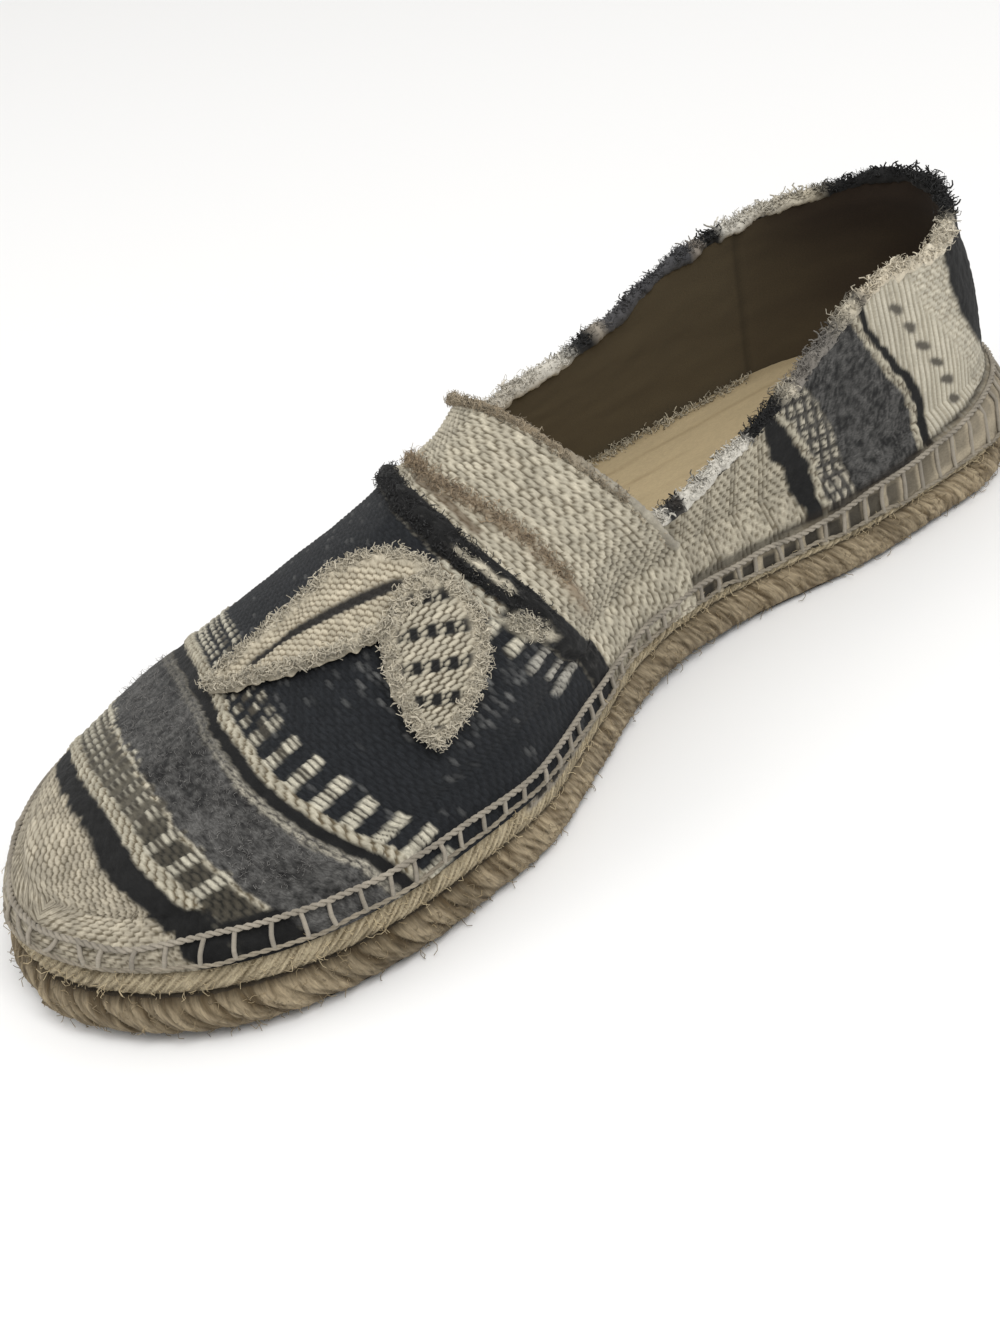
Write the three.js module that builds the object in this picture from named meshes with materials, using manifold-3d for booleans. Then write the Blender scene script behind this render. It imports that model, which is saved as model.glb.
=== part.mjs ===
// Raw-edged cloth espadrille for the right foot, standing empty on its sole.
// Millimetres. X runs from heel to toe, Y to the big toe side (medial), Z up.
import * as THREE from "three";
import Module from "manifold-3d";
import { mergeVertices } from "three/addons/utils/BufferGeometryUtils.js";

// Driving dimensions
const shoeLength = 255;
const ballWidth = 94;
const waistWidth = 60;
const heelWidth = 64;
const instepHeight = 62;
const heelHeight = 59;
const rubberThickness = 2;
const juteThickness = 13;
const insoleThickness = 2;
const clothWall = 1.8;
const toeSpring = 0.8;
const archRise = 1.2;
const hemHeight = 8.5;
const hemInset = 4;
const hemOut = 1;
const hemDrop = 5.2;
const hemWall = 1.7;
const hemGap = 0.6;
const sideBulge = 5;
const heelHollow = 2.2;
const heelTuck = 2.4;
const lapStep = 1.3;
const lapLength = 12;
const lapEdge = 2;
const foldHeight = 1.8;
const foldWidth = 5;
const clearance = 0.3;
const insoleMargin = 1.2;
const braidRelief = 1.1;
const braidGroove = 1.4;
const braidPitch = 9;
const braidFoot = 1.6;
const braidSwell = 0.3;
const rubberInset = 0.3;
const rubberBevel = 0.6;
const lockLength = 4.5;
const lockPitch = 6.5;
const lockRadius = 1.05;
const lockRoot = 1.6;
const leafGap = 0.5;
const leafThickness = 1.4;
const leafLength = 50;
const leafWidth = 21;
const smallLeafLength = 36;
const smallLeafWidth = 18;

// Heights that follow from them
const juteBottom = rubberThickness + clearance;
const soleTop = juteBottom + juteThickness;
const instepRise = instepHeight - soleTop;

// Sole outline from heel to toe. The half widths are shares of the width in the column of,
// and middle is the centre line's shift to the big toe side as a share of the ball width.
const outlineRows = [
  { at: 0.0, of: heelWidth, medial: 0.485, lateral: 0.49, middle: 0.012 },
  { at: 0.16, of: heelWidth, medial: 0.49, lateral: 0.505, middle: 0.0 },
  { at: 0.26, of: heelWidth, medial: 0.47, lateral: 0.53, middle: 0.0 },
  { at: 0.38, of: waistWidth, medial: 0.4, lateral: 0.6, middle: 0.0 },
  { at: 0.5, of: waistWidth, medial: 0.435, lateral: 0.65, middle: 0.0 },
  { at: 0.6, of: ballWidth, medial: 0.385, lateral: 0.46, middle: 0.003 },
  { at: 0.68, of: ballWidth, medial: 0.47, lateral: 0.495, middle: 0.01 },
  { at: 0.76, of: ballWidth, medial: 0.485, lateral: 0.505, middle: 0.022 },
  { at: 0.84, of: ballWidth, medial: 0.486, lateral: 0.474, middle: 0.036 },
  { at: 0.91, of: ballWidth, medial: 0.492, lateral: 0.46, middle: 0.05 },
  { at: 1.0, of: ballWidth, medial: 0.5, lateral: 0.42, middle: 0.064 },
];
const heelRound = 0.13;
const toeRound = 0.22;

// Form of the last. crown is the height over the sole's top as a share of the instep's, ridge is the
// shift of its highest line as a share of the ball width, the powers say how square each side is, and
// bulge is the share of sideBulge by which the side swells out over the waist.
const lastRows = [
  { at: 0.0, crown: 1.65, ridge: 0.0, medialPower: 1.8, lateralPower: 1.9, bulge: 0.0 },
  { at: 0.2, crown: 1.9, ridge: 0.0, medialPower: 2.1, lateralPower: 2.1, bulge: 0.0 },
  { at: 0.36, crown: 1.56, ridge: 0.0, medialPower: 2.2, lateralPower: 1.9, bulge: 0.7 },
  { at: 0.48, crown: 1.14, ridge: 0.05, medialPower: 2.0, lateralPower: 1.4, bulge: 1.0 },
  { at: 0.588, crown: 0.94, ridge: 0.06, medialPower: 1.9, lateralPower: 1.25, bulge: 0.5 },
  { at: 0.68, crown: 0.785, ridge: 0.077, medialPower: 1.8, lateralPower: 1.25, bulge: 0.1 },
  { at: 0.76, crown: 0.625, ridge: 0.089, medialPower: 1.8, lateralPower: 1.25, bulge: 0.0 },
  { at: 0.84, crown: 0.475, ridge: 0.075, medialPower: 1.85, lateralPower: 1.35, bulge: 0.0 },
  { at: 0.92, crown: 0.385, ridge: 0.042, medialPower: 2.0, lateralPower: 1.8, bulge: 0.0 },
  { at: 1.0, crown: 0.34, ridge: 0.0, medialPower: 2.0, lateralPower: 2.0, bulge: 0.0 },
];
const crownRound = 0.16;

// Hem along the shoe: shares of hemHeight, hemInset and hemDrop
const hemRows = [
  { at: 0.0, height: 1.0, inset: 0.45, drop: 1.0 },
  { at: 0.3, height: 1.0, inset: 0.5, drop: 1.0 },
  { at: 0.45, height: 1.0, inset: 0.25, drop: 0.8 },
  { at: 0.65, height: 0.95, inset: 0.8, drop: 0.5 },
  { at: 0.85, height: 0.75, inset: 1.1, drop: 0.35 },
  { at: 1.0, height: 0.6, inset: 1.1, drop: 0.3 },
];

// Collar height over the floor along the quarter, as shares of heelHeight
const collarRows = [
  { at: 0.0, medial: 1.0, lateral: 1.0 },
  { at: 0.04, medial: 0.95, lateral: 0.95 },
  { at: 0.1, medial: 0.92, lateral: 0.92 },
  { at: 0.2, medial: 0.925, lateral: 0.87 },
  { at: 0.26, medial: 0.83, lateral: 0.79 },
  { at: 0.32, medial: 0.71, lateral: 0.73 },
  { at: 0.37, medial: 0.62, lateral: 0.7 },
  { at: 0.43, medial: 0.585, lateral: 0.685 },
  { at: 0.54, medial: 0.6, lateral: 0.66 },
];

// Stations along the shoe, as shares of its length
const vampBack = { medial: 0.435, lateral: 0.403 };
const throatAt = 0.543;
const vampLean = { medial: 0.73, lateral: 1.75 };
const quarterFront = { medial: 0.52, lateral: 0.48 };
const foldAt = 0.275;
const foldSlant = 0.145;

const sideOf = (side) => (side > 0 ? "medial" : "lateral");
const clamp = (value, low, high) => Math.min(high, Math.max(low, value));
const smooth = (value) => {
  const part = clamp(value, 0, 1);
  return part * part * (3 - 2 * part);
};
const bell = (distance) => Math.exp(-distance * distance);

// Repeatable scatter between -1 and 1 for loose threads
const scatter = (index, salt) => {
  const wave = Math.sin(index * 12.9898 + salt * 78.233) * 43758.5453;
  return 2 * (wave - Math.floor(wave)) - 1;
};

// Smooth value of a table's column at a station
function along(rows, column, at) {
  let low = 0;
  while (low < rows.length - 2 && at > rows[low + 1].at) low += 1;
  const slope = (index) => {
    const before = rows[Math.max(index - 1, 0)];
    const after = rows[Math.min(index + 1, rows.length - 1)];
    return (after[column] - before[column]) / (after.at - before.at);
  };
  const from = rows[low];
  const to = rows[low + 1];
  const span = to.at - from.at;
  const u = clamp((at - from.at) / span, 0, 1);
  const bend = u * u * (3 - 2 * u);
  return (
    from[column] * (1 - bend) +
    to[column] * bend +
    span * slope(low) * u * (1 - u) * (1 - u) -
    span * slope(low + 1) * u * u * (1 - u)
  );
}

const widthRows = outlineRows.map((row) => ({
  at: row.at,
  medial: row.medial * row.of,
  lateral: row.lateral * row.of,
  middle: row.middle * ballWidth,
}));

// Rise of the sole's underside over the floor: flat heel, low arch, flat ball, toe spring
function groundAt(at) {
  const arch = archRise * bell((at - 0.45) / 0.07);
  const flat = at > 0.33 && at < 0.57 ? arch - archRise * bell(0.12 / 0.07) : 0;
  const spring = toeSpring * clamp((at - 0.76) / 0.24, 0, 1) ** 2;
  return Math.max(flat, 0) + spring;
}

// Rounding of the outline at heel and toe
function endRound(at) {
  const fromHeel = clamp(1 - at / heelRound, 0, 1);
  const fromToe = clamp(1 - (1 - at) / toeRound, 0, 1);
  return Math.sqrt(1 - fromHeel * fromHeel) * Math.sqrt(1 - fromToe * fromToe);
}

const middleAt = (at) => along(widthRows, "middle", at);

// Point of the sole's outline, moved in by inset
function outlinePoint(at, side, inset) {
  const half = along(widthRows, sideOf(side), at) - inset;
  const y = middleAt(at) + side * half * endRound(at);
  return new THREE.Vector2(inset + at * (shoeLength - 2 * inset), y);
}

// Point of the last's surface: up is the share of the way to its crown, offset is measured inward
function lastPoint(at, side, up, offset) {
  const inset = hemInset * along(hemRows, "inset", at) + offset;
  const edge = outlinePoint(at, side, inset);
  const power = along(lastRows, `${sideOf(side)}Power`, at);
  const reach = (1 - clamp(up, 0, 1) ** power) ** (1 / power);
  const ridge = middleAt(at) + along(lastRows, "ridge", at) * ballWidth * endRound(at);
  const swell = side > 0 ? sideBulge * along(lastRows, "bulge", at) : 0;
  const y = ridge + (edge.y - ridge) * reach + side * swell * Math.sin(Math.PI * clamp(up * 1.3, 0, 1));
  return new THREE.Vector3(edge.x, y, baseHeight(at) + crownOver(at, offset) * up);
}

const baseHeight = (at) => groundAt(at) + soleTop + hemHeight * along(hemRows, "height", at);

// Height of the crown over the wall's base
function crownOver(at, offset) {
  const fromToe = clamp(1 - (1 - at) / crownRound, 0, 1);
  const rise = instepRise * along(lastRows, "crown", at) - hemHeight * along(hemRows, "height", at);
  return Math.max(rise * Math.sqrt(1 - fromToe * fromToe) - offset, 0.01);
}

// Hem between the wall and the edge of the jute, from its lower edge up: two or three points
function hemPoints(at, side, outer, extra) {
  const lift = groundAt(at) + soleTop;
  const inset = hemInset * along(hemRows, "inset", at);
  const height = hemHeight * along(hemRows, "height", at);
  const drop = hemDrop * along(hemRows, "drop", at);
  const levels = outer
    ? [
        { out: hemOut + extra, z: -drop },
        { out: hemOut - 0.15 * inset + extra, z: 0.25 * height },
        { out: -0.5 * inset + extra, z: 0.75 * height },
      ]
    : [
        { out: hemOut - hemWall, z: -drop },
        { out: hemOut - hemWall, z: clearance },
        { out: -inset - clothWall, z: clearance },
      ];
  return levels.map((level) => {
    const point = outlinePoint(at, side, -level.out);
    return new THREE.Vector3(point.x, point.y, lift + level.z);
  });
}

// Grid of points to triangles, row by row
function gridTriangles(grid, triangles, flip) {
  const push = (a, b, c) => triangles.push(flip ? [a, c, b] : [a, b, c]);
  for (let i = 0; i + 1 < grid.length; i += 1) {
    for (let j = 0; j + 1 < grid[i].length; j += 1) {
      push(grid[i][j], grid[i + 1][j], grid[i + 1][j + 1]);
      push(grid[i][j], grid[i + 1][j + 1], grid[i][j + 1]);
    }
  }
}

const wasm = await Module();
wasm.setup();

// Triangles of points to a solid
function solidOf(triangles) {
  const positions = new Float32Array(triangles.length * 9);
  triangles.flat().forEach((point, index) => point.toArray(positions, index * 3));
  const loose = new THREE.BufferGeometry();
  loose.setAttribute("position", new THREE.BufferAttribute(positions, 3));
  const geometry = mergeVertices(loose, 1e-3);
  const corners = geometry.index.array;
  const kept = [];
  for (let i = 0; i < corners.length; i += 3) {
    const [a, b, c] = corners.slice(i, i + 3);
    if (a !== b && b !== c && c !== a) kept.push(a, b, c);
  }
  const mesh = new wasm.Mesh({
    numProp: 3,
    vertProperties: geometry.getAttribute("position").array,
    triVerts: new Uint32Array(kept),
  });
  const solid = new wasm.Manifold(mesh);
  return solid.volume() < 0 ? solidOf(triangles.map(([a, b, c]) => [a, c, b])) : solid;
}

function geometryOf(solid) {
  const mesh = solid.getMesh();
  const geometry = new THREE.BufferGeometry();
  geometry.setAttribute("position", new THREE.BufferAttribute(new Float32Array(mesh.vertProperties), 3));
  geometry.setIndex(new THREE.BufferAttribute(new Uint32Array(mesh.triVerts), 1));
  geometry.computeVertexNormals();
  return geometry;
}

// Stations spread evenly along one side of the outline, from heel to toe
function evenStations(side, count) {
  const fine = 400;
  const samples = Array.from({ length: fine + 1 }, (_, i) => (1 - Math.cos((Math.PI * i) / fine)) / 2);
  const lengths = [0];
  for (let i = 1; i <= fine; i += 1) {
    const step = outlinePoint(samples[i], side, 0).distanceTo(outlinePoint(samples[i - 1], side, 0));
    lengths.push(lengths[i - 1] + step);
  }
  const total = lengths[fine];
  return Array.from({ length: count + 1 }, (_, k) => {
    const goal = (total * k) / count;
    let i = 1;
    while (i < fine && lengths[i] < goal) i += 1;
    const part = (goal - lengths[i - 1]) / (lengths[i] - lengths[i - 1]);
    return samples[i - 1] + (samples[i] - samples[i - 1]) * clamp(part, 0, 1);
  });
}

// Flat-lying solid on the outline: each ring has an out and a height for a column of the loop
function slab(count, rings) {
  const medial = evenStations(1, count);
  const lateral = evenStations(-1, count);
  const loop = [];
  for (let i = 0; i < count; i += 1) loop.push({ at: medial[i], side: 1, column: i });
  for (let i = count; i > 0; i -= 1) loop.push({ at: lateral[i], side: -1, column: 2 * count - i });
  const walls = rings.map((ring) => {
    const row = loop.map((spot) => {
      const level = ring(spot);
      const point = outlinePoint(spot.at, spot.side, -level.out);
      return new THREE.Vector3(point.x, point.y, groundAt(spot.at) + level.z);
    });
    return [...row, row[0]];
  });
  const triangles = [];
  gridTriangles(walls, triangles, true);
  const cap = (row, flip) => {
    const medialRow = row.slice(0, count + 1);
    const lateralRow = Array.from({ length: count + 1 }, (_, i) => row[(2 * count - i) % (2 * count)]);
    gridTriangles([medialRow, lateralRow], triangles, flip);
  };
  cap(walls[0], false);
  cap(walls[walls.length - 1], true);
  return solidOf(triangles);
}

// Rubber sheet under the jute, a little narrower than the braid
function makeOutsole() {
  const level = (out, z) => () => ({ out, z });
  return slab(40, [
    level(-rubberInset - rubberBevel, 0),
    level(-rubberInset, rubberThickness * 0.35),
    level(-rubberInset, rubberThickness),
  ]);
}

// Two braid rows with slanting lobes and a groove between them, and a seat for the hem above them
function makeJute() {
  const halfGirth = 0.83 * (shoeLength + ballWidth);
  const lobes = Math.round(halfGirth / braidPitch);
  const perLobe = 4;
  const lobe = (column, slant) => Math.abs(Math.sin((Math.PI * (column + slant)) / perLobe));
  const ring = (share, out, relief, slant) => (spot) => ({
    out: out + relief * lobe(spot.column, slant),
    z: juteBottom + juteThickness * share,
  });
  const grooveShare = 0.48;
  const seatShare = (at) => 1 - (hemDrop * along(hemRows, "drop", at) + hemGap) / juteThickness;
  const upper = (share, slant) => (spot) => ({
    out: -rubberInset + braidRelief * lobe(spot.column, slant),
    z: juteBottom + juteThickness * (grooveShare + (seatShare(spot.at) - grooveShare) * share),
  });
  const seatOut = hemOut - hemWall - hemGap;
  return slab(lobes * perLobe, [
    ring(0, -braidFoot, 0, 0),
    ring(0.12, braidSwell, braidRelief, -0.8),
    ring(0.34, braidSwell, braidRelief, 0.8),
    ring(grooveShare, -braidGroove, 0, 0),
    upper(0.3, 0.8),
    upper(0.75, -0.8),
    (spot) => ({ out: seatOut, z: juteBottom + juteThickness * seatShare(spot.at) }),
    (spot) => ({ out: seatOut, z: juteBottom + juteThickness }),
  ]);
}

function makeInsole() {
  const inset = (spot) => hemInset * along(hemRows, "inset", spot.at) + clothWall + insoleMargin;
  const bottom = soleTop + clearance;
  return slab(36, [
    (spot) => ({ out: -inset(spot), z: bottom }),
    (spot) => ({ out: -inset(spot), z: bottom + insoleThickness }),
  ]);
}

// Closes the gap between the outer and the inner points of an open edge
function closeEdge(outer, inner, triangles, flip) {
  gridTriangles([outer, inner], triangles, flip);
}

// The weave lies askew: its rows swing towards the heel on the lateral side, most of all at the fold
const clothRun = (row, across) => {
  const swing = row < foldAt ? smooth(row / foldAt) : 1 - smooth((row - foldAt) / 0.5);
  return row - foldSlant * swing * across;
};

// Place on the vamp: run goes from its back edge to the toe, across from the medial side (0) to the
// lateral side (1), both as shares of the way
function vampPoint(run, across, offset) {
  const side = across < 0.5 ? 1 : -1;
  const name = sideOf(side);
  const climb = Math.min(across, 1 - across) * Math.PI;
  const back = vampBack[name];
  const base = back + (1 - back) * run;
  const top = throatAt + (1 - throatAt) * run;
  const at = base + (top - base) * Math.sin(climb) ** vampLean[name];
  const power = along(lastRows, `${name}Power`, at);
  const up = Math.sin(climb) ** (2 / power);
  const point = lastPoint(at, side, up, offset);
  if (climb > Math.PI / 2 - 1e-6) point.y = ridgeLine(at);
  return point;
}

const ridgeLine = (at) => middleAt(at) + along(lastRows, "ridge", at) * ballWidth * endRound(at);

const ridgeLength = (1 - throatAt) * shoeLength;

// How far the vamp stands proud: its rear end laps over the quarter, and one row is a raised fold
function vampRaise(row) {
  const lap = lapStep * smooth(1 - (row * ridgeLength - lapEdge) / lapLength);
  const fold = foldHeight * bell(((row - foldAt) * ridgeLength) / (foldWidth / 2));
  return lap + fold;
}

function makeVamp() {
  const sections = 20;
  const acrossSteps = 26;
  const foldRows = [-1.2, -0.5, 0.5, 1.2].map((share) => foldAt + (share * foldWidth) / 2 / ridgeLength);
  const even = Array.from({ length: sections + 1 }, (_, j) => Math.sin((Math.PI * j) / (2 * sections)));
  const nearFold = (row) => foldRows.some((fold) => Math.abs(row - fold) < 0.02);
  const rows = [...even.filter((row) => !nearFold(row)), ...foldRows].sort((a, b) => a - b);
  const sheet = (outer) =>
    rows.map((row) => {
      const raise = vampRaise(row);
      const lapped = smooth(1 - (row * ridgeLength - lapLength) / lapLength);
      const offset = outer ? -raise : clothWall * (1 - 0.5 * lapped);
      const wall = Array.from({ length: acrossSteps + 1 }, (_, k) => {
        const across = k / acrossSteps;
        return vampPoint(clothRun(row, across), across, offset);
      });
      const hem = (side) => {
        const back = vampBack[sideOf(side)];
        const base = back + (1 - back) * clothRun(row, side > 0 ? 0 : 1);
        return hemPoints(base, side, outer, outer ? Math.min(raise, lapStep) : 0);
      };
      return [...hem(1), ...wall, ...hem(-1).reverse()];
    });
  return shellOf(sheet(true), sheet(false), { closeEnd: false });
}

// Joins an outer and an inner grid of points along their open edges
function shellOf(outer, inner, { closeEnd }) {
  const triangles = [];
  gridTriangles(outer, triangles, false);
  gridTriangles(inner, triangles, true);
  closeEdge(outer[0], inner[0], triangles, true);
  if (closeEnd) closeEdge(outer[outer.length - 1], inner[inner.length - 1], triangles, false);
  const first = (grid) => grid.map((row) => row[0]);
  const last = (grid) => grid.map((row) => row[row.length - 1]);
  closeEdge(first(outer), first(inner), triangles, false);
  closeEdge(last(outer), last(inner), triangles, true);
  return solidOf(triangles);
}

// Share of the way up to the crown at which the collar lies
function collarUp(at, side) {
  const height = heelHeight * along(collarRows, sideOf(side), at);
  return (height - baseHeight(at)) / crownOver(at, 0);
}

// The heel's back swells a little, then leans in to the collar
function heelLean(at, share) {
  const near = smooth(1 - at / 0.16);
  return near * (heelTuck * share * share - heelHollow * Math.sin(Math.PI * Math.min(share * 1.15, 1)));
}

function quarterPoint(at, side, share, offset) {
  const up = collarUp(at, side) * share;
  const point = lastPoint(at, side, up, offset);
  point.x += heelLean(at, share);
  return point;
}

// Spots along the quarter from its medial front end round the heel to its lateral front end
function quarterSpots(perSide) {
  const spots = [];
  for (let i = perSide; i >= -perSide; i -= 1) {
    const side = i >= 0 ? 1 : -1;
    const turn = (Math.abs(i) / perSide) * (Math.PI / 2);
    spots.push({ at: quarterFront[sideOf(side)] * (1 - Math.cos(turn)), side });
  }
  return spots;
}

function makeQuarter() {
  const wallSteps = 5;
  const sheet = (outer) =>
    quarterSpots(19).map(({ at, side }) => {
      const offset = outer ? 0 : clothWall;
      const wall = Array.from({ length: wallSteps + 1 }, (_, k) =>
        quarterPoint(at, side, k / wallSteps, offset),
      );
      return [...hemPoints(at, side, outer, 0), ...wall];
    });
  return shellOf(sheet(true), sheet(false), { closeEnd: true });
}

// One frayed lock of threads that stands on the collar's edge; size is a share of the usual one
function makeLock(root, direction, sideways, size) {
  const across = new THREE.Vector3().crossVectors(direction, sideways).normalize();
  const ring = (height, wide) =>
    [0, 1, 2].map((corner) => {
      const turn = (corner * 2 * Math.PI) / 3;
      return root
        .clone()
        .addScaledVector(direction, height)
        .addScaledVector(sideways, wide * Math.cos(turn) * 1.3)
        .addScaledVector(across, wide * Math.sin(turn) * 0.6);
    });
  const radius = lockRadius * size;
  const rings = [ring(-lockRoot, radius * 0.8), ring(radius * 1.2, radius), ring(lockLength * size, 0)];
  const closed = rings.map((points) => [...points, points[0]]);
  const triangles = [];
  gridTriangles(closed, triangles, false);
  triangles.push([rings[0][0], rings[0][1], rings[0][2]]);
  return solidOf(triangles);
}

function makeLocks() {
  const locks = [];
  const fine = quarterSpots(300);
  let walked = lockPitch;
  let previous = null;
  for (const { at, side } of fine) {
    const rim = quarterPoint(at, side, 1, clothWall / 2);
    walked += previous ? rim.distanceTo(previous) : 0;
    const onCollar = at < (side > 0 ? vampBack.medial : vampBack.lateral);
    if (previous && onCollar && walked >= lockPitch) {
      walked = 0;
      const index = locks.length + 1;
      const run = rim.clone().sub(previous).normalize();
      const outward = new THREE.Vector3().crossVectors(run, new THREE.Vector3(0, 0, 1)).normalize();
      const direction = new THREE.Vector3(0, 0, 1)
        .addScaledVector(outward, 0.25 + 0.2 * scatter(index, 1))
        .addScaledVector(run, 0.45 * scatter(index, 2))
        .normalize();
      const size = 1 + 0.25 * scatter(index, 3);
      locks.push(makeLock(rim, direction, run, size));
    }
    previous = rim;
  }
  return locks;
}

function makeUpper() {
  return [makeQuarter(), ...makeLocks()].reduce((whole, piece) => whole.add(piece), makeVamp());
}

// Leaf of cloth on the vamp. It lies along a line from its stalk end to its tip, given in run and across.
function makeLeaf(leaf) {
  const lengthSteps = 12;
  const widthSteps = 6;
  const girth = ballWidth * 1.25;
  const axis = new THREE.Vector2(leaf.tip.across - leaf.stalk.across, leaf.tip.run - leaf.stalk.run);
  const heading = new THREE.Vector2(axis.x * girth, axis.y * ridgeLength).normalize();
  const sheet = (offset) =>
    Array.from({ length: lengthSteps + 1 }, (_, i) => {
      const share = i / lengthSteps;
      const half = (leaf.width / 2) * Math.sin(Math.PI * share ** 0.8) ** 0.7;
      return Array.from({ length: widthSteps + 1 }, (__, j) => {
        const sideways = half * ((2 * j) / widthSteps - 1);
        const ahead = leaf.length * share;
        const across = leaf.stalk.across + (heading.x * ahead - heading.y * sideways) / girth;
        const run = leaf.stalk.run + (heading.y * ahead + heading.x * sideways) / ridgeLength;
        return vampPoint(run, across, offset);
      });
    });
  const low = -leaf.lift;
  return shellOf(sheet(low - leafThickness), sheet(low), { closeEnd: true });
}

function makeApplique() {
  const large = {
    stalk: { run: 0.3, across: 0.33 },
    tip: { run: 0.62, across: 0.6 },
    length: leafLength,
    width: leafWidth,
    lift: leafGap,
  };
  const small = {
    stalk: { run: 0.315, across: 0.34 },
    tip: { run: 0.545, across: 0.11 },
    length: smallLeafLength,
    width: smallLeafWidth,
    lift: leafGap + leafThickness / 2,
  };
  return makeLeaf(large).add(makeLeaf(small));
}

const materials = {
  rubber: new THREE.MeshStandardMaterial({ color: 0x5c5750, roughness: 0.85, metalness: 0 }),
  jute: new THREE.MeshStandardMaterial({ color: 0xb09c74, roughness: 0.95, metalness: 0 }),
  sock: new THREE.MeshStandardMaterial({ color: 0xb4a078, roughness: 0.95, metalness: 0 }),
  cloth: new THREE.MeshStandardMaterial({ color: 0x8c8474, roughness: 0.95, metalness: 0 }),
  leaf: new THREE.MeshStandardMaterial({ color: 0xbeb29e, roughness: 0.95, metalness: 0 }),
};

const pieces = [
  { name: "outsole", solid: makeOutsole(), material: materials.rubber },
  { name: "jute_sole", solid: makeJute(), material: materials.jute },
  { name: "insole", solid: makeInsole(), material: materials.sock },
  { name: "upper", solid: makeUpper(), material: materials.cloth },
  { name: "applique", solid: makeApplique(), material: materials.leaf },
];

// The origin is on the floor, under the middle of the shoe's box
const group = new THREE.Group();
for (const piece of pieces) {
  const mesh = new THREE.Mesh(geometryOf(piece.solid), piece.material);
  mesh.name = piece.name;
  group.add(mesh);
}
const box = new THREE.Box3().setFromObject(group);
const centre = box.getCenter(new THREE.Vector3());
for (const mesh of group.children) mesh.geometry.translate(-centre.x, -centre.y, -box.min.z);

export default group;
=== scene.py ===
"""Looks of a raw-edged cloth espadrille for the right foot.

All sizes are in millimetres in the shoe's own frame: X from the heel's end to the toe, Y to the big
toe side, Z up from the floor. Meshes are turned to metres and centred when they are made.
"""

import math

import bpy
import numpy as np
from mathutils import Matrix, Vector


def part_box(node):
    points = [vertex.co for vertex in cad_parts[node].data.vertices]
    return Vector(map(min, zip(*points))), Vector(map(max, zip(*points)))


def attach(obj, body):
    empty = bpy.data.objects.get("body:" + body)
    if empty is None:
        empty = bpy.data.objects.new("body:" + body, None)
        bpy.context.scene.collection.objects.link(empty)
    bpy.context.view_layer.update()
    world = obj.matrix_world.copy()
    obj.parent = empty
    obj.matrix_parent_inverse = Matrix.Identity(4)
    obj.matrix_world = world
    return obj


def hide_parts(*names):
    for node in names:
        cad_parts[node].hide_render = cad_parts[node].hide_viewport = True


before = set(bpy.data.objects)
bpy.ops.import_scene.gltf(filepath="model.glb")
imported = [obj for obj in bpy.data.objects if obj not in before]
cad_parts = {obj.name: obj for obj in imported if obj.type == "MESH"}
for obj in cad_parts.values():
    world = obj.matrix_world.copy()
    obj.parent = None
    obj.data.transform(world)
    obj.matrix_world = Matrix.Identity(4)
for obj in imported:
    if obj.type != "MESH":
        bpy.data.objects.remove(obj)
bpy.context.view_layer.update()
rng = np.random.default_rng(11)

# Sizes of the shoe
SHOE_LENGTH = 255.0
BALL_WIDTH = 94.0
WAIST_WIDTH = 60.0
HEEL_WIDTH = 64.0
INSTEP_HEIGHT = 62.0
HEEL_HEIGHT = 59.0
RUBBER = 2.0
CLEARANCE = 0.3
JUTE_BOTTOM = RUBBER + CLEARANCE
JUTE = 13.0
SOLE_TOP = JUTE_BOTTOM + JUTE
HEM_HEIGHT = 8.5
HEM_INSET = 4.0
HEM_DROP = 5.2
HEM_OUT = 1.0
SIDE_BULGE = 5.0
CLOTH_WALL = 1.8
TOE_SPRING = 0.8
ARCH_RISE = 1.2
GRAIN_LONG = 2.8
GRAIN_PITCH = 1.08
STITCH_PITCH = 5.5
STRIPE_EDGE = 0.005
BLOCK_PITCH = 5.4
CHECK_PITCH = 6.0
DASH_PITCH = 6.4


def table(names, rows):
    columns = list(zip(*rows))
    return {name: np.array(column, float) for name, column in zip(names.split(), columns)}


OUTLINE = table(
    "at medial lateral middle",
    [
        (0.0, 0.485 * HEEL_WIDTH, 0.49 * HEEL_WIDTH, 0.012 * BALL_WIDTH),
        (0.16, 0.49 * HEEL_WIDTH, 0.505 * HEEL_WIDTH, 0.0),
        (0.26, 0.47 * HEEL_WIDTH, 0.53 * HEEL_WIDTH, 0.0),
        (0.38, 0.4 * WAIST_WIDTH, 0.6 * WAIST_WIDTH, 0.0),
        (0.5, 0.435 * WAIST_WIDTH, 0.65 * WAIST_WIDTH, 0.0),
        (0.6, 0.385 * BALL_WIDTH, 0.46 * BALL_WIDTH, 0.003 * BALL_WIDTH),
        (0.68, 0.47 * BALL_WIDTH, 0.495 * BALL_WIDTH, 0.01 * BALL_WIDTH),
        (0.76, 0.485 * BALL_WIDTH, 0.505 * BALL_WIDTH, 0.022 * BALL_WIDTH),
        (0.84, 0.486 * BALL_WIDTH, 0.474 * BALL_WIDTH, 0.036 * BALL_WIDTH),
        (0.91, 0.492 * BALL_WIDTH, 0.46 * BALL_WIDTH, 0.05 * BALL_WIDTH),
        (1.0, 0.5 * BALL_WIDTH, 0.42 * BALL_WIDTH, 0.064 * BALL_WIDTH),
    ],
)
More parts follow.
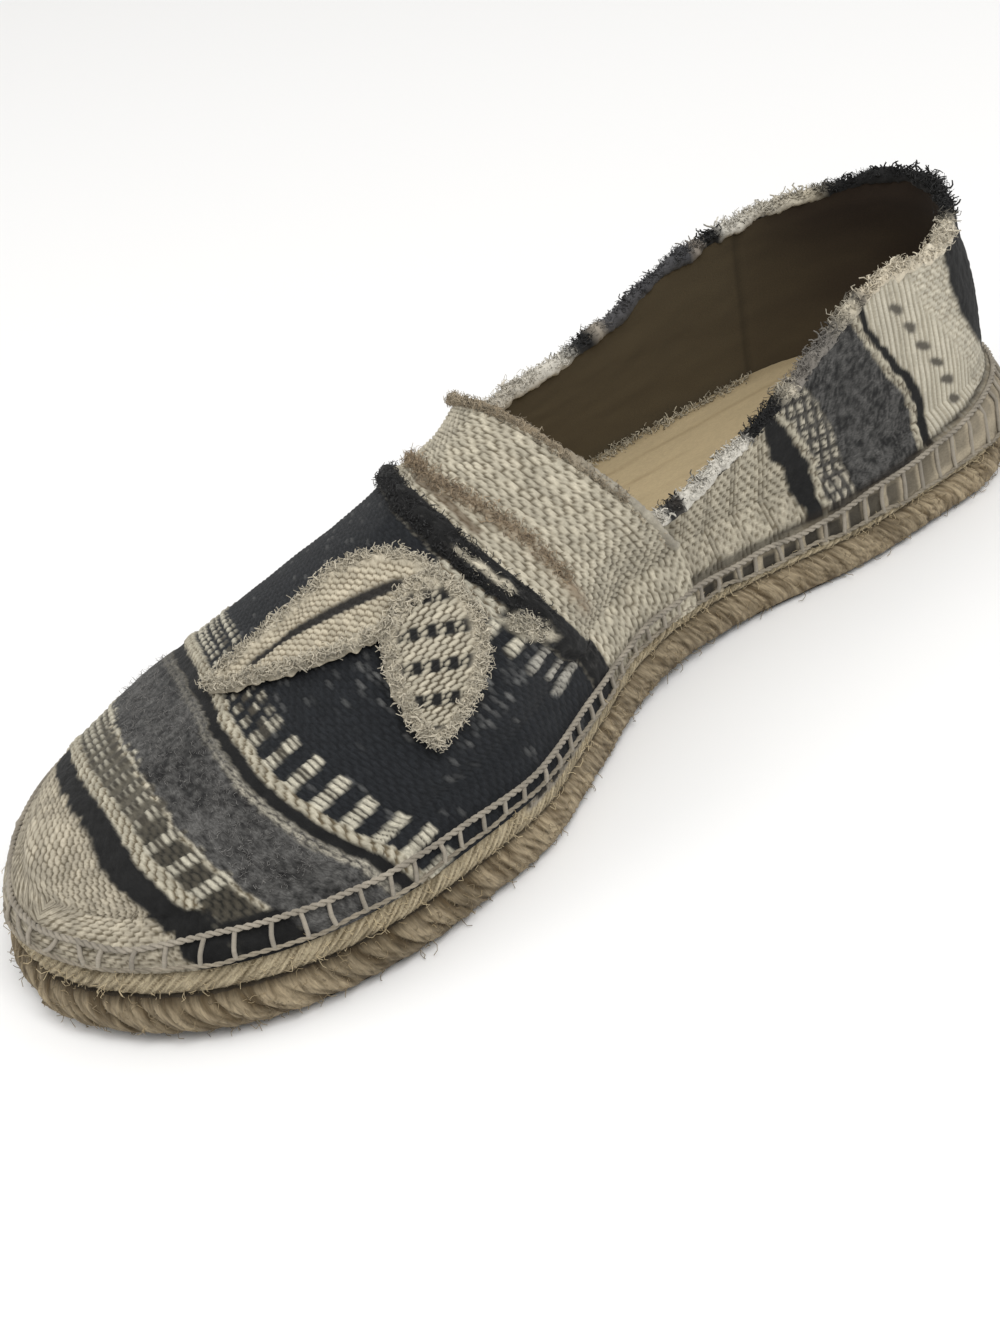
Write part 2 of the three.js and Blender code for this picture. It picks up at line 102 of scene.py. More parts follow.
LAST = table(
    "at crown ridge medial_power lateral_power bulge",
    [
        (0.0, 1.65, 0.0, 1.8, 1.9, 0.0),
        (0.2, 1.9, 0.0, 2.1, 2.1, 0.0),
        (0.36, 1.56, 0.0, 2.2, 1.9, 0.7),
        (0.48, 1.14, 0.05, 2.0, 1.4, 1.0),
        (0.588, 0.94, 0.06, 1.9, 1.25, 0.5),
        (0.68, 0.785, 0.077, 1.8, 1.25, 0.1),
        (0.76, 0.625, 0.089, 1.8, 1.25, 0.0),
        (0.84, 0.475, 0.075, 1.85, 1.35, 0.0),
        (0.92, 0.385, 0.042, 2.0, 1.8, 0.0),
        (1.0, 0.34, 0.0, 2.0, 2.0, 0.0),
    ],
)
HEM = table(
    "at height inset drop",
    [
        (0.0, 1.0, 0.45, 1.0),
        (0.3, 1.0, 0.5, 1.0),
        (0.45, 1.0, 0.25, 0.8),
        (0.65, 0.95, 0.8, 0.5),
        (0.85, 0.75, 1.1, 0.35),
        (1.0, 0.6, 1.1, 0.3),
    ],
)
COLLAR = table(
    "at medial lateral",
    [
        (0.0, 1.0, 1.0),
        (0.04, 0.95, 0.95),
        (0.1, 0.92, 0.92),
        (0.2, 0.925, 0.87),
        (0.26, 0.83, 0.79),
        (0.32, 0.71, 0.73),
        (0.37, 0.62, 0.7),
        (0.43, 0.585, 0.685),
        (0.54, 0.6, 0.66),
    ],
)
# Where the seam stitches run on the hem, as a share of the way up from its lower edge
SEAM = table(
    "at medial lateral",
    [
        (0.0, 0.7, 0.7),
        (0.07, 0.63, 0.6),
        (0.13, 0.47, 0.5),
        (0.19, 0.33, 0.4),
        (0.25, 0.29, 0.35),
        (0.3, 0.24, 0.3),
        (0.36, 0.2, 0.3),
        (0.5, 0.22, 0.3),
        (0.69, 0.34, 0.34),
        (0.75, 0.41, 0.36),
        (0.783, 0.45, 0.37),
        (0.833, 0.5, 0.38),
        (0.873, 0.52, 0.4),
        (0.895, 0.56, 0.42),
        (0.923, 0.58, 0.44),
        (0.945, 0.6, 0.46),
        (0.966, 0.55, 0.5),
        (0.98, 0.5, 0.52),
        (1.0, 0.55, 0.55),
    ],
)
VAMP_BACK = {1: 0.435, -1: 0.403}
VAMP_LEAN = {1: 0.73, -1: 1.75}
THROAT_AT = 0.543
QUARTER_FRONT = {1: 0.5, -1: 0.46}

# Colours as the eye sees them, 0 to 255
BEIGE = (180, 173, 155)
# The gap colour below is painted shade in the hollows between the beige floats
BEIGE_GAP_SHADE = (100, 92, 76)
TOE_BEIGE = (164, 156, 139)
CREAM = (178, 173, 157)
ROPE_CREAM = (168, 162, 145)
BLACK = (25, 25, 25)
NAVY = (33, 35, 38)
FELT_DARK = (30, 30, 30)
FELT_LIGHT = (88, 87, 85)
# Painted shade along the fold of the pleat
PLEAT_FOLD_SHADE = (124, 108, 88)
FRAY_WHITE = (196, 192, 182)
STITCH_GREY = (138, 131, 119)
LINING = (76, 66, 48)
LINING_DARK = (43, 34, 26)
INSOLE_TAN = (176, 158, 124)
JUTE_LIGHT = (176, 163, 136)
JUTE_SHADE = (104, 92, 70)
# The lower braid row's two colours are darker than the upper row's, as painted shade
JUTE_LOW_IN_SHADE = (142, 129, 106)
JUTE_LOW_SHADE = (74, 62, 44)
# Painted shade in the groove between the braid rows
JUTE_GROOVE_SHADE = (56, 46, 32)
RUBBER_GREY = (84, 77, 68)


def lin(colour):
    c = np.asarray(colour, float) / 255.0
    return np.where(c <= 0.04045, c / 12.92, ((c + 0.055) / 1.055) ** 2.4)


def along(rows, column, at):
    """Smooth value of a table's column at stations."""
    at = np.asarray(at, float)
    x = rows["at"]
    y = rows[column]
    last = len(x) - 1
    before = np.maximum(np.arange(last + 1) - 1, 0)
    after = np.minimum(np.arange(last + 1) + 1, last)
    slope = (y[after] - y[before]) / (x[after] - x[before])
    k = np.clip(np.searchsorted(x, at, side="left") - 1, 0, last - 1)
    span = x[k + 1] - x[k]
    u = np.clip((at - x[k]) / span, 0, 1)
    bend = u * u * (3 - 2 * u)
    rise = span * slope[k] * u * (1 - u) ** 2 - span * slope[k + 1] * u * u * (1 - u)
    return y[k] * (1 - bend) + y[k + 1] * bend + rise


def smooth(value):
    value = np.clip(value, 0, 1)
    return value * value * (3 - 2 * value)


def step(value, edge, width):
    """0 before the edge, 1 after it, over a soft width."""
    return smooth((value - edge) / width + 0.5)


def between(value, low, high, width):
    return step(value, low, width) * (1 - step(value, high, width))


def bell(distance):
    return np.exp(-distance * distance)


def lerp(a, b, share):
    return a + (b - a) * np.asarray(share)[..., None]


def pick(side, medial, lateral):
    return np.where(side > 0, medial, lateral)


def sided(rows, at, side):
    """Value of a table with a medial and a lateral column."""
    return pick(side, along(rows, "medial", at), along(rows, "lateral", at))


def stacked(*parts):
    return np.stack(np.broadcast_arrays(*parts), -1)


def unit(vectors):
    return vectors / np.maximum(np.linalg.norm(vectors, axis=-1, keepdims=True), 1e-9)


def arc_length(path):
    """Length along a path up to each of its points."""
    return np.concatenate([[0], np.cumsum(np.linalg.norm(np.diff(path, axis=0), axis=1))])


# Value noise on a lattice, repeatable
NOISE_SIZE = 256
noise_table = rng.random((NOISE_SIZE, NOISE_SIZE))


def cell_value(i, j, salt=0):
    a = (np.asarray(i).astype(int) + 37 * salt) % NOISE_SIZE
    b = (np.asarray(j).astype(int) + 91 * salt) % NOISE_SIZE
    return noise_table[a, b]


def noise(u, v=0, salt=0):
    """Smooth noise between -1 and 1."""
    i = np.floor(u)
    j = np.floor(v)
    fu = smooth(u - i)
    fv = smooth(v - j)
    low = cell_value(i, j, salt) * (1 - fu) + cell_value(i + 1, j, salt) * fu
    high = cell_value(i, j + 1, salt) * (1 - fu) + cell_value(i + 1, j + 1, salt) * fu
    return 2 * (low * (1 - fv) + high * fv) - 1


def rough_noise(u, v, salt=0):
    fine = 0.5 * noise(2.1 * u, 2.1 * v, salt + 1) + 0.25 * noise(4.3 * u, 4.3 * v, salt + 2)
    return (noise(u, v, salt) + fine) / 1.75


# The shoe's form
def ground(at):
    arch = ARCH_RISE * bell((at - 0.45) / 0.07)
    flat = np.where((at > 0.33) & (at < 0.57), arch - ARCH_RISE * bell(0.12 / 0.07), 0)
    return np.maximum(flat, 0) + TOE_SPRING * np.clip((at - 0.76) / 0.24, 0, 1) ** 2


def end_round(at):
    heel = np.clip(1 - at / 0.13, 0, 1)
    toe = np.clip(1 - (1 - at) / 0.22, 0, 1)
    return np.sqrt(1 - heel * heel) * np.sqrt(1 - toe * toe)


def outline(at, side, out):
    """X and Y of the sole's outline, moved out."""
    half = sided(OUTLINE, at, side) + out
    return -out + at * (SHOE_LENGTH + 2 * out), along(OUTLINE, "middle", at) + side * half * end_round(at)


def hem_inset(at):
    return HEM_INSET * along(HEM, "inset", at)


def hem_height(at):
    return HEM_HEIGHT * along(HEM, "height", at)


def base_height(at):
    return ground(at) + SOLE_TOP + hem_height(at)


def crown_over(at, offset):
    toe = np.clip(1 - (1 - at) / 0.16, 0, 1)
    rise = (INSTEP_HEIGHT - SOLE_TOP) * along(LAST, "crown", at) - hem_height(at)
    return np.maximum(rise * np.sqrt(1 - toe * toe) - offset, 0.01)


def wall_power(at, side):
    return pick(side, along(LAST, "medial_power", at), along(LAST, "lateral_power", at))


def last_point(at, side, up, offset):
    x, edge = outline(at, side, -(hem_inset(at) + offset))
    power = wall_power(at, side)
    reach = (1 - np.clip(up, 0, 1) ** power) ** (1 / power)
    ridge = along(OUTLINE, "middle", at) + along(LAST, "ridge", at) * BALL_WIDTH * end_round(at)
    swell = pick(side, SIDE_BULGE * along(LAST, "bulge", at), 0)
    y = ridge + (edge - ridge) * reach + side * swell * np.sin(np.pi * np.clip(up * 1.3, 0, 1))
    return stacked(x, y, base_height(at) + crown_over(at, offset) * up)


def hem_point(at, side, share, extra=0.0):
    """Outside of the hem, from its lower edge (0) to the foot of the wall (1)."""
    at, side, share, extra = np.broadcast_arrays(np.asarray(at, float), side, share, extra)
    inset = hem_inset(at)
    height = hem_height(at)
    drop = HEM_DROP * along(HEM, "drop", at)
    outs = np.stack([HEM_OUT + 0 * inset, HEM_OUT - 0.15 * inset, -0.5 * inset, -inset])
    levels = np.stack([-drop, 0.25 * height, 0.75 * height, height])
    place = np.clip(share, 0, 1) * 3
    k = np.clip(np.floor(place).astype(int), 0, 2)[None]
    part = place - k[0]
    out, level = [
        np.take_along_axis(values, k, 0)[0] * (1 - part) + np.take_along_axis(values, k + 1, 0)[0] * part
        for values in (outs, levels)
    ]
    x, y = outline(at, side, out + extra)
    return stacked(x, y, ground(at) + SOLE_TOP + level)


def vamp_point(run, across, offset):
    run, across = np.broadcast_arrays(np.asarray(run, float), np.asarray(across, float))
    side = np.where(across < 0.5, 1, -1)
    climb = np.minimum(across, 1 - across) * np.pi
    back = pick(side, VAMP_BACK[1], VAMP_BACK[-1])
    base = back + (1 - back) * run
    top = THROAT_AT + (1 - THROAT_AT) * run
    at = base + (top - base) * np.sin(climb) ** pick(side, VAMP_LEAN[1], VAMP_LEAN[-1])
    return last_point(at, side, np.sin(climb) ** (2 / wall_power(at, side)), offset)


def quarter_point(at, side, share, offset):
    at, side, share = np.broadcast_arrays(np.asarray(at, float), side, np.asarray(share, float))
    collar_up = (HEEL_HEIGHT * sided(COLLAR, at, side) - base_height(at)) / crown_over(at, 0)
    point = last_point(at, side, collar_up * share, offset)
    near = smooth(1 - at / 0.16)
    point[..., 0] += near * (2.4 * share**2 - 2.2 * np.sin(np.pi * np.minimum(share * 1.15, 1)))
    return point


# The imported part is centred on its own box, so the shoe's frame is moved by the same amount
probe = np.linspace(0, 1, 2001)
sheet_low, sheet_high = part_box("outsole")
_, medial_edge = outline(probe, 1, -CLEARANCE)
_, lateral_edge = outline(probe, -1, -CLEARANCE)
shift_y = 500 * (sheet_low.y + sheet_high.y) - (medial_edge.max() + lateral_edge.min()) / 2
SHIFT = np.array([-SHOE_LENGTH / 2, shift_y, 0.0])


def to_metres(points):
    return (np.asarray(points, float) + SHIFT) * 0.001


# Materials
def set_inputs(node, values):
    for name, value in values.items():
        node.inputs[name].default_value = value
    return node


def node_material(name, fibre, bump, bump_size, roughness, sheen=0.04, spread=0.25):
    """Cloth or fibre: the shade attribute, mottled by streaked noise in the weave's own millimetres."""
    material = bpy.data.materials.new(name)
    material.use_nodes = True
    nodes = material.node_tree.nodes
    principled = set_inputs(
        nodes["Principled BSDF"],
        {"Roughness": roughness, "Sheen Weight": sheen, "Sheen Roughness": 0.6, "Specular IOR Level": 0.15},
    )
    weave = nodes.new("ShaderNodeAttribute")
    weave.attribute_name = "weave"
    scale = set_inputs(nodes.new("ShaderNodeMapping"), {"Scale": fibre})
    streak = set_inputs(nodes.new("ShaderNodeTexNoise"), {"Scale": 1.0, "Detail": 4.0, "Roughness": 0.65})
    ends = {"From Min": 0.25, "From Max": 0.75, "To Min": -spread, "To Max": spread}
    span = set_inputs(nodes.new("ShaderNodeMapRange"), ends)
    shade = nodes.new("ShaderNodeAttribute")
    shade.attribute_name = "shade"
    amount = set_inputs(nodes.new("ShaderNodeMath"), {2: 1.0})
    amount.operation = "MULTIPLY_ADD"
    tint = nodes.new("ShaderNodeVectorMath")
    tint.operation = "SCALE"
    relief = set_inputs(nodes.new("ShaderNodeBump"), {"Strength": bump, "Distance": bump_size * 0.001})
    for start, output, end, target in (
        (weave, "Vector", scale, "Vector"),
        (scale, "Vector", streak, "Vector"),
        (streak, "Fac", span, "Value"),
        (span, "Result", amount, 0),
        (shade, "Alpha", amount, 1),
        (shade, "Color", tint, 0),
        (amount, "Value", tint, "Scale"),
        (tint, "Vector", principled, "Base Color"),
        (streak, "Fac", relief, "Height"),
        (relief, "Normal", principled, "Normal"),
    ):
        material.node_tree.links.new(start.outputs[output], end.inputs[target])
    return material


cloth_look = node_material("woven cloth", (1.3, 3.0, 1.0), 0.6, 0.35, 0.95, spread=0.22)
fuzz_look = node_material("loose fibre", (2.0, 2.0, 1.0), 0.2, 0.1, 0.95, sheen=0.08, spread=0.15)
jute_look = node_material("jute fibre", (0.45, 2.6, 1.0), 0.9, 0.6, 0.92, spread=0.45)
sock_look = node_material("insole cloth", (1.2, 4.0, 1.0), 0.4, 0.2, 0.85, spread=0.12)
lining_look = node_material("lining cloth", (2.0, 3.0, 1.0), 0.35, 0.2, 0.95, spread=0.12)
rubber_look = node_material("rubber", (0.8, 0.8, 0.8), 0.5, 0.2, 0.8, sheen=0.0, spread=0.2)


# Meshes
def new_mesh(name, points, faces, colours, weave, material):
    """Mesh object from points, four-sided faces and values per point."""
    points = to_metres(points).reshape(-1, 3)
    faces = np.asarray(faces, np.int32)
    mesh = bpy.data.meshes.new(name)
    mesh.vertices.add(len(points))
    mesh.vertices.foreach_set("co", points.ravel().astype(np.float32))
    mesh.loops.add(faces.size)
    mesh.loops.foreach_set("vertex_index", faces.ravel())
    mesh.polygons.add(len(faces))
    mesh.polygons.foreach_set("loop_start", np.arange(len(faces), dtype=np.int32) * 4)
    mesh.polygons.foreach_set("use_smooth", np.full(len(faces), True))
    mesh.update(calc_edges=True)
    rgba = np.ones((len(points), 4), np.float32)
    rgba[:, : colours.shape[-1]] = colours.reshape(-1, colours.shape[-1])
    mesh.color_attributes.new("shade", "FLOAT_COLOR", "POINT").data.foreach_set("color", rgba.ravel())
    places = np.asarray(weave, np.float32).reshape(-1, 3)
    mesh.attributes.new("weave", "FLOAT_VECTOR", "POINT").data.foreach_set("vector", places.ravel())
    mesh.materials.append(material)
    thing = bpy.data.objects.new(name, mesh)
    bpy.context.scene.collection.objects.link(thing)
    return thing


def grid_faces(rows, columns, wrap=False, flip=False):
    i = np.arange(rows - 1)[:, None]
    j = np.arange(columns if wrap else columns - 1)
    a = i * columns + j
    b = i * columns + (j + 1) % columns
    order = (a, b, b + columns, a + columns) if flip else (a, a + columns, b + columns, b)
    return stacked(*order).reshape(-1, 4)


def grid_normals(points):
    return unit(np.cross(np.gradient(points, axis=0), np.gradient(points, axis=1)))


def grid_object(name, points, colours, weave, material, wrap=False, flip=False):
    rows, columns = points.shape[:2]
    return new_mesh(name, points, grid_faces(rows, columns, wrap, flip), colours, weave, material)


def threads(name, paths, radii, colours, sides=3):
    """Many tubes in one mesh. Paths are (count, steps, 3), radii and colours fit on them."""
    count, steps, _ = paths.shape
    tangent = unit(np.gradient(paths, axis=1))
    helper = np.where(np.abs(tangent[:, :1, 2:3]) > 0.8, [[[1.0, 0.1, 0]]], [[[0.1, 0.05, 1.0]]])
    first = unit(np.cross(tangent, np.broadcast_to(helper, tangent.shape)))
    second = np.cross(tangent, first)
    turn = np.arange(sides)[:, None] * 2 * np.pi / sides
    ring = first[:, :, None] * np.cos(turn) + second[:, :, None] * np.sin(turn)
    points = paths[:, :, None] + ring * np.broadcast_to(radii, (count, steps))[:, :, None, None]
    k = np.arange(count)[:, None, None] * steps * sides
    i = np.arange(steps - 1)[:, None] * sides
    j = np.arange(sides)
    a = k + i + j
    b = k + i + (j + 1) % sides
    faces = stacked(a, b, b + sides, a + sides).reshape(-1, 4)
    shades = np.broadcast_to(np.broadcast_to(colours, paths.shape)[:, :, None], points.shape)
    weave = np.zeros(points.shape)
    weave[..., 0] = np.arange(count)[:, None, None] * 3.7
    weave[..., 1] = np.arange(steps)[:, None] * 0.5
    return new_mesh(name, points, faces, shades, weave, fuzz_look)


def hairs(roots, directions, lengths, curl, steps, seed):
    """Curling paths that start at roots."""
    local = np.random.default_rng(seed)
    count = len(roots)
    first = unit(np.cross(directions, local.normal(size=(count, 3))))
    second = np.cross(directions, first)
    start = local.uniform(0, 2 * np.pi, (count, 1, 1))
    turns = local.uniform(2.0, 6.0, (count, 1, 1)) * local.choice([-1, 1], (count, 1, 1))
    t = np.linspace(0, 1, steps)[:, None]
    coil = first[:, None] * (np.cos(start + turns * t) - np.cos(start))
    coil = coil + second[:, None] * (np.sin(start + turns * t) - np.sin(start))
    return roots[:, None] + lengths[:, None, None] * (directions[:, None] * t + 0.4 * curl * coil)


def fibres(name, paths, thick, taper, tint, low, high, local):
    """Tapering hairs, each with its own thickness and tone."""
    count, steps, _ = paths.shape
    radii = np.linspace(1, taper, steps) * (thick * (0.7 + 0.6 * local.random((count, 1))))
    return threads(name, paths, radii, tint * (low + high * local.random((count, 1, 1))))


# Weave relief and tint. u runs across the rows and v from the throat to the toe, in millimetres.
def grains(u, v, long=GRAIN_LONG, pitch=GRAIN_PITCH, slant=0.0, brick=0.5, tilt=0.3, salt=0):
    """Height between 0 and 1 of a bed of thread floats, and each float's own random value."""
    v = v + slant * u
    row = np.floor(v / pitch)
    shift = brick * (row % 2) + 0.2 * (cell_value(row, 5, salt) - 0.5)
    place = u / long + shift
    cell = np.floor(place)
    fu = 2 * (place - cell) - 1
    fv = 2 * (v / pitch - row) - 1
    size = 0.9 + 0.2 * cell_value(cell, row, salt + 3)
    body = 1 - np.abs(fu / size) ** 2.3 - np.abs((fv + tilt * fu) / size) ** 2
    return np.sqrt(np.clip(body, 0, 1)), cell_value(cell, row, salt + 7)


def weave_tint(height, value, light, gap_shade, spread=0.17):
    # Painted shade: the float colour turns to the gap colour where the float's height falls, in the hollows
    # between floats
    shade = lerp(lin(gap_shade), lin(light), smooth(height * 1.25))
    return shade * (1 - spread + 2 * spread * value)[..., None]


def yarn(u, v, light, gap_shade, **bed):
    """Tint and height of a bed of floats."""
    height, value = grains(u, v, **bed)
    return weave_tint(height, value, light, gap_shade), height


def varied(colour, amount):
    """Colour made lighter and darker by an amount at each point."""
    return lin(colour) * (1 + amount)[..., None]


def repeat(value, pitch, low, high, width):
    """1 on a share of each pitch, 0 on the rest."""
    return between((value / pitch) % 1.0, low, high, width)


def with_mottle(colour, amount):
    """Colour with the strength of its fibre mottle as a fourth value."""
    return np.concatenate([colour, (1 + 0 * colour[..., 0] + amount)[..., None]], -1)


class Cloth:
    """Colour and relief of a cloth, with other yarns laid over it."""

    def __init__(self, colour, relief):
        self.colour = colour
        self.relief = relief

    def lay(self, mask, colour, relief):
        self.colour = lerp(self.colour, colour, mask)
        self.relief = self.relief + (relief - self.relief) * mask


# Vamp
ROW_SLANT = {
    "at": (0.0, 0.17, 0.275, 0.45, 0.63, 0.745, 0.84, 0.88, 0.955, 1.0),
    "slant": (0.0, 0.1, 0.145, 0.175, 0.2, 0.17, 0.165, 0.15, 0.12, 0.0),
}
RIDGE_LENGTH = (1 - THROAT_AT) * SHOE_LENGTH
VAMP_ROWS = 390
VAMP_COLUMNS = 220
HEM_POINTS = 14


def row_run(row, across):
    return row - np.interp(row, ROW_SLANT["at"], ROW_SLANT["slant"]) * across


def vamp_lap(row):
    return 1.3 * smooth(1 - (row * RIDGE_LENGTH - 2) / 12)


def vamp_row(row, dense, offset):
    """One row's points from the medial hem over the ridge to the lateral hem, with across of each."""
    across = np.linspace(0, 1, dense)
    share = np.linspace(0, 1, HEM_POINTS)
    hems = []
    for side, end in ((1, 0.0), (-1, 1.0)):
        back = VAMP_BACK[side]
        at = back + (1 - back) * row_run(row, end)
        hems.append(hem_point(at, side, share[:-1], min(-offset, 1.3)))
    wall = vamp_point(row_run(row, across), across, offset)
    place = np.concatenate([share[:-1] - 1, across, 1 + share[1:]])
    return np.concatenate([hems[0], wall, hems[1][::-1]]), place


def vamp_sheet(rows, columns):
    """Points of each row spread evenly, their place across, and their length from the ridge."""
    points = np.zeros((len(rows), columns, 3))
    place = np.zeros((len(rows), columns))
    reach = np.zeros((len(rows), columns))
    for k, row in enumerate(rows):
        dense, spots = vamp_row(row, 220, -vamp_lap(row))
        length = arc_length(dense)
        goal = np.linspace(0, length[-1], columns)
        for axis in range(3):
            points[k, :, axis] = np.interp(goal, length, dense[:, axis])
        place[k] = np.interp(goal, length, spots)
        reach[k] = goal - np.interp(0.5, spots, length)
    return points, place, reach


# The rows bow across the vamp: their shift at each share of the way across, and how much of it a row has
ROW_BOW = {
    "at": (-1.0, -0.4, 0.0, 0.08, 0.16, 0.24, 0.316, 0.395, 0.474, 0.553, 0.632, 0.711, 1.0, 2.0),
    "shift": (
        *(-0.11, -0.075, -0.049, -0.033, -0.018, -0.0045, 0.0),
        *(-0.0067, -0.0178, -0.0267, -0.033, -0.042, -0.06, -0.08),
    ),
}
BOW_SHARE = {
    "at": (0.0, 0.15, 0.28, 0.5, 0.76, 0.88, 0.93, 0.97, 1.0),
    "share": (0.0, 0.35, 0.8, 1.0, 1.0, 0.62, 0.55, 0.4, 0.0),
}
# Where each stripe of the vamp ends, counted from the throat
STRIPE_END = {
    "beige": 0.262,
    "black band": 0.322,
    "navy": 0.69,
    "checks": 0.7455,
    "rope": 0.7625,
    "black line": 0.783,
    "heather": 0.7987,
    "felt": 0.889,
    "dashes": 0.9325,
    "second rope": 0.949,
    "black stripe": 0.9735,
}


def straight_row(row, across):
    bow = np.interp(across, ROW_BOW["at"], ROW_BOW["shift"])
    return row - bow * np.interp(row, BOW_SHARE["at"], BOW_SHARE["share"])


def tuft_share(q, across):
    blob = bell((across - 0.14) / 0.05) * bell((q - 0.318 - 0.3 * (across - 0.14)) / 0.02)
    return np.maximum(blob, 0.8 * between(across, 0.2, 0.33, 0.04) * bell((q - 0.293) / 0.007))


def stripe(q, after, last, width=STRIPE_EDGE):
    """1 on the stripes that follow one name, up to and with another."""
    return between(q, STRIPE_END[after], STRIPE_END[last], width)


def pleat_row(across):
    return 0.213 - 0.028 * bell((across - 0.25) / 0.13)


def navy_field(cloth, q, across, u, v, clump, fine, fine_value):
    """Navy with faint thread ends in columns, and light blocks along its back."""
    column = repeat(u, BLOCK_PITCH, 0.1, 0.6, 0.2)
    speck = smooth((fine_value - 0.45) / 0.3) * between(across, 0.08, 0.34, 0.05)
    speck = speck * between(q, 0.38, 0.56, 0.06)
    stray = smooth((fine_value - 0.93) / 0.05)
    # Painted shade: the navy darkens where the floats are low, in the hollows between them
    navy = lerp(lin(NAVY) * 0.6, varied(NAVY, 0.3 * clump), fine)
    navy = lerp(navy, lin((112, 112, 110)), fine * (0.75 * speck * (0.35 + 0.65 * column) + 0.3 * stray))
    zone = stripe(q, "black band", "checks")
    cloth.lay(zone, navy, 0.28 * fine)
    strokes, stroke_value = grains(u, v, long=200.0, pitch=1.22, brick=0.0, tilt=0.0, salt=30)
    cream = weave_tint(strokes, stroke_value, CREAM, (70, 66, 58))
    ashen = weave_tint(strokes, stroke_value, (150, 147, 138), (58, 56, 54))
    high = 0.3 + 0.45 * strokes
    jag = 0.032 * (cell_value(np.floor(u / BLOCK_PITCH), 0, 32) - 0.5)
    blocks = repeat(u, BLOCK_PITCH, 0.14, 0.56, 0.1)
    for start, stop, near, far, tint in ((0.12, 0.34, 0.335, 0.39, cream), (-0.3, 0.1, 0.325, 0.385, ashen)):
        window = between(across, start, stop, 0.02) * between(q, near, far + jag, 0.006)
        cloth.lay(blocks * window, tint, high)
    row_tint, row_height = yarn(u, v, CREAM, (96, 86, 70), long=2.6, pitch=1.2, salt=35)
    row_top = between(across, 0.2, 0.34, 0.02) * between(q, 0.318, 0.345, 0.005)
    cloth.lay(row_top, row_tint, 0.3 + 0.5 * row_height)
    return cream, strokes, zone


def felt_field(cloth, q, across, u, v, fine, fine_value):
    """Grey felt, with light thread ends along its back edge."""
    mottle = 0.5 + 0.5 * rough_noise(u / 1.6, v / 1.3, 50)
    fuzz = 0.5 + 0.5 * noise(u / 0.7, v / 0.5, 53)
    patch = 0.5 + 0.5 * noise(u / 9, v / 6, 54)
    felt_mix = smooth((0.4 * mottle + 0.35 * fuzz + 0.25 * patch - 0.2) / 0.6)
    zone = stripe(q, "black line", "felt")
    cloth.lay(zone, lerp(lin(FELT_DARK), lin(FELT_LIGHT), felt_mix), 0.3 + 0.35 * mottle)
    heather = weave_tint(fine, fine_value, (150, 145, 132), (66, 63, 59))
    heather = heather * (0.75 + 0.5 * mottle)[..., None]
    heather_zone = between(q, STRIPE_END["black line"] + 0.002, STRIPE_END["heather"], 0.008)
    cloth.lay(heather_zone * (0.85 - 0.55 * smooth((across - 0.3) / 0.2)), heather, 0.35 + 0.3 * fine)
    return zone


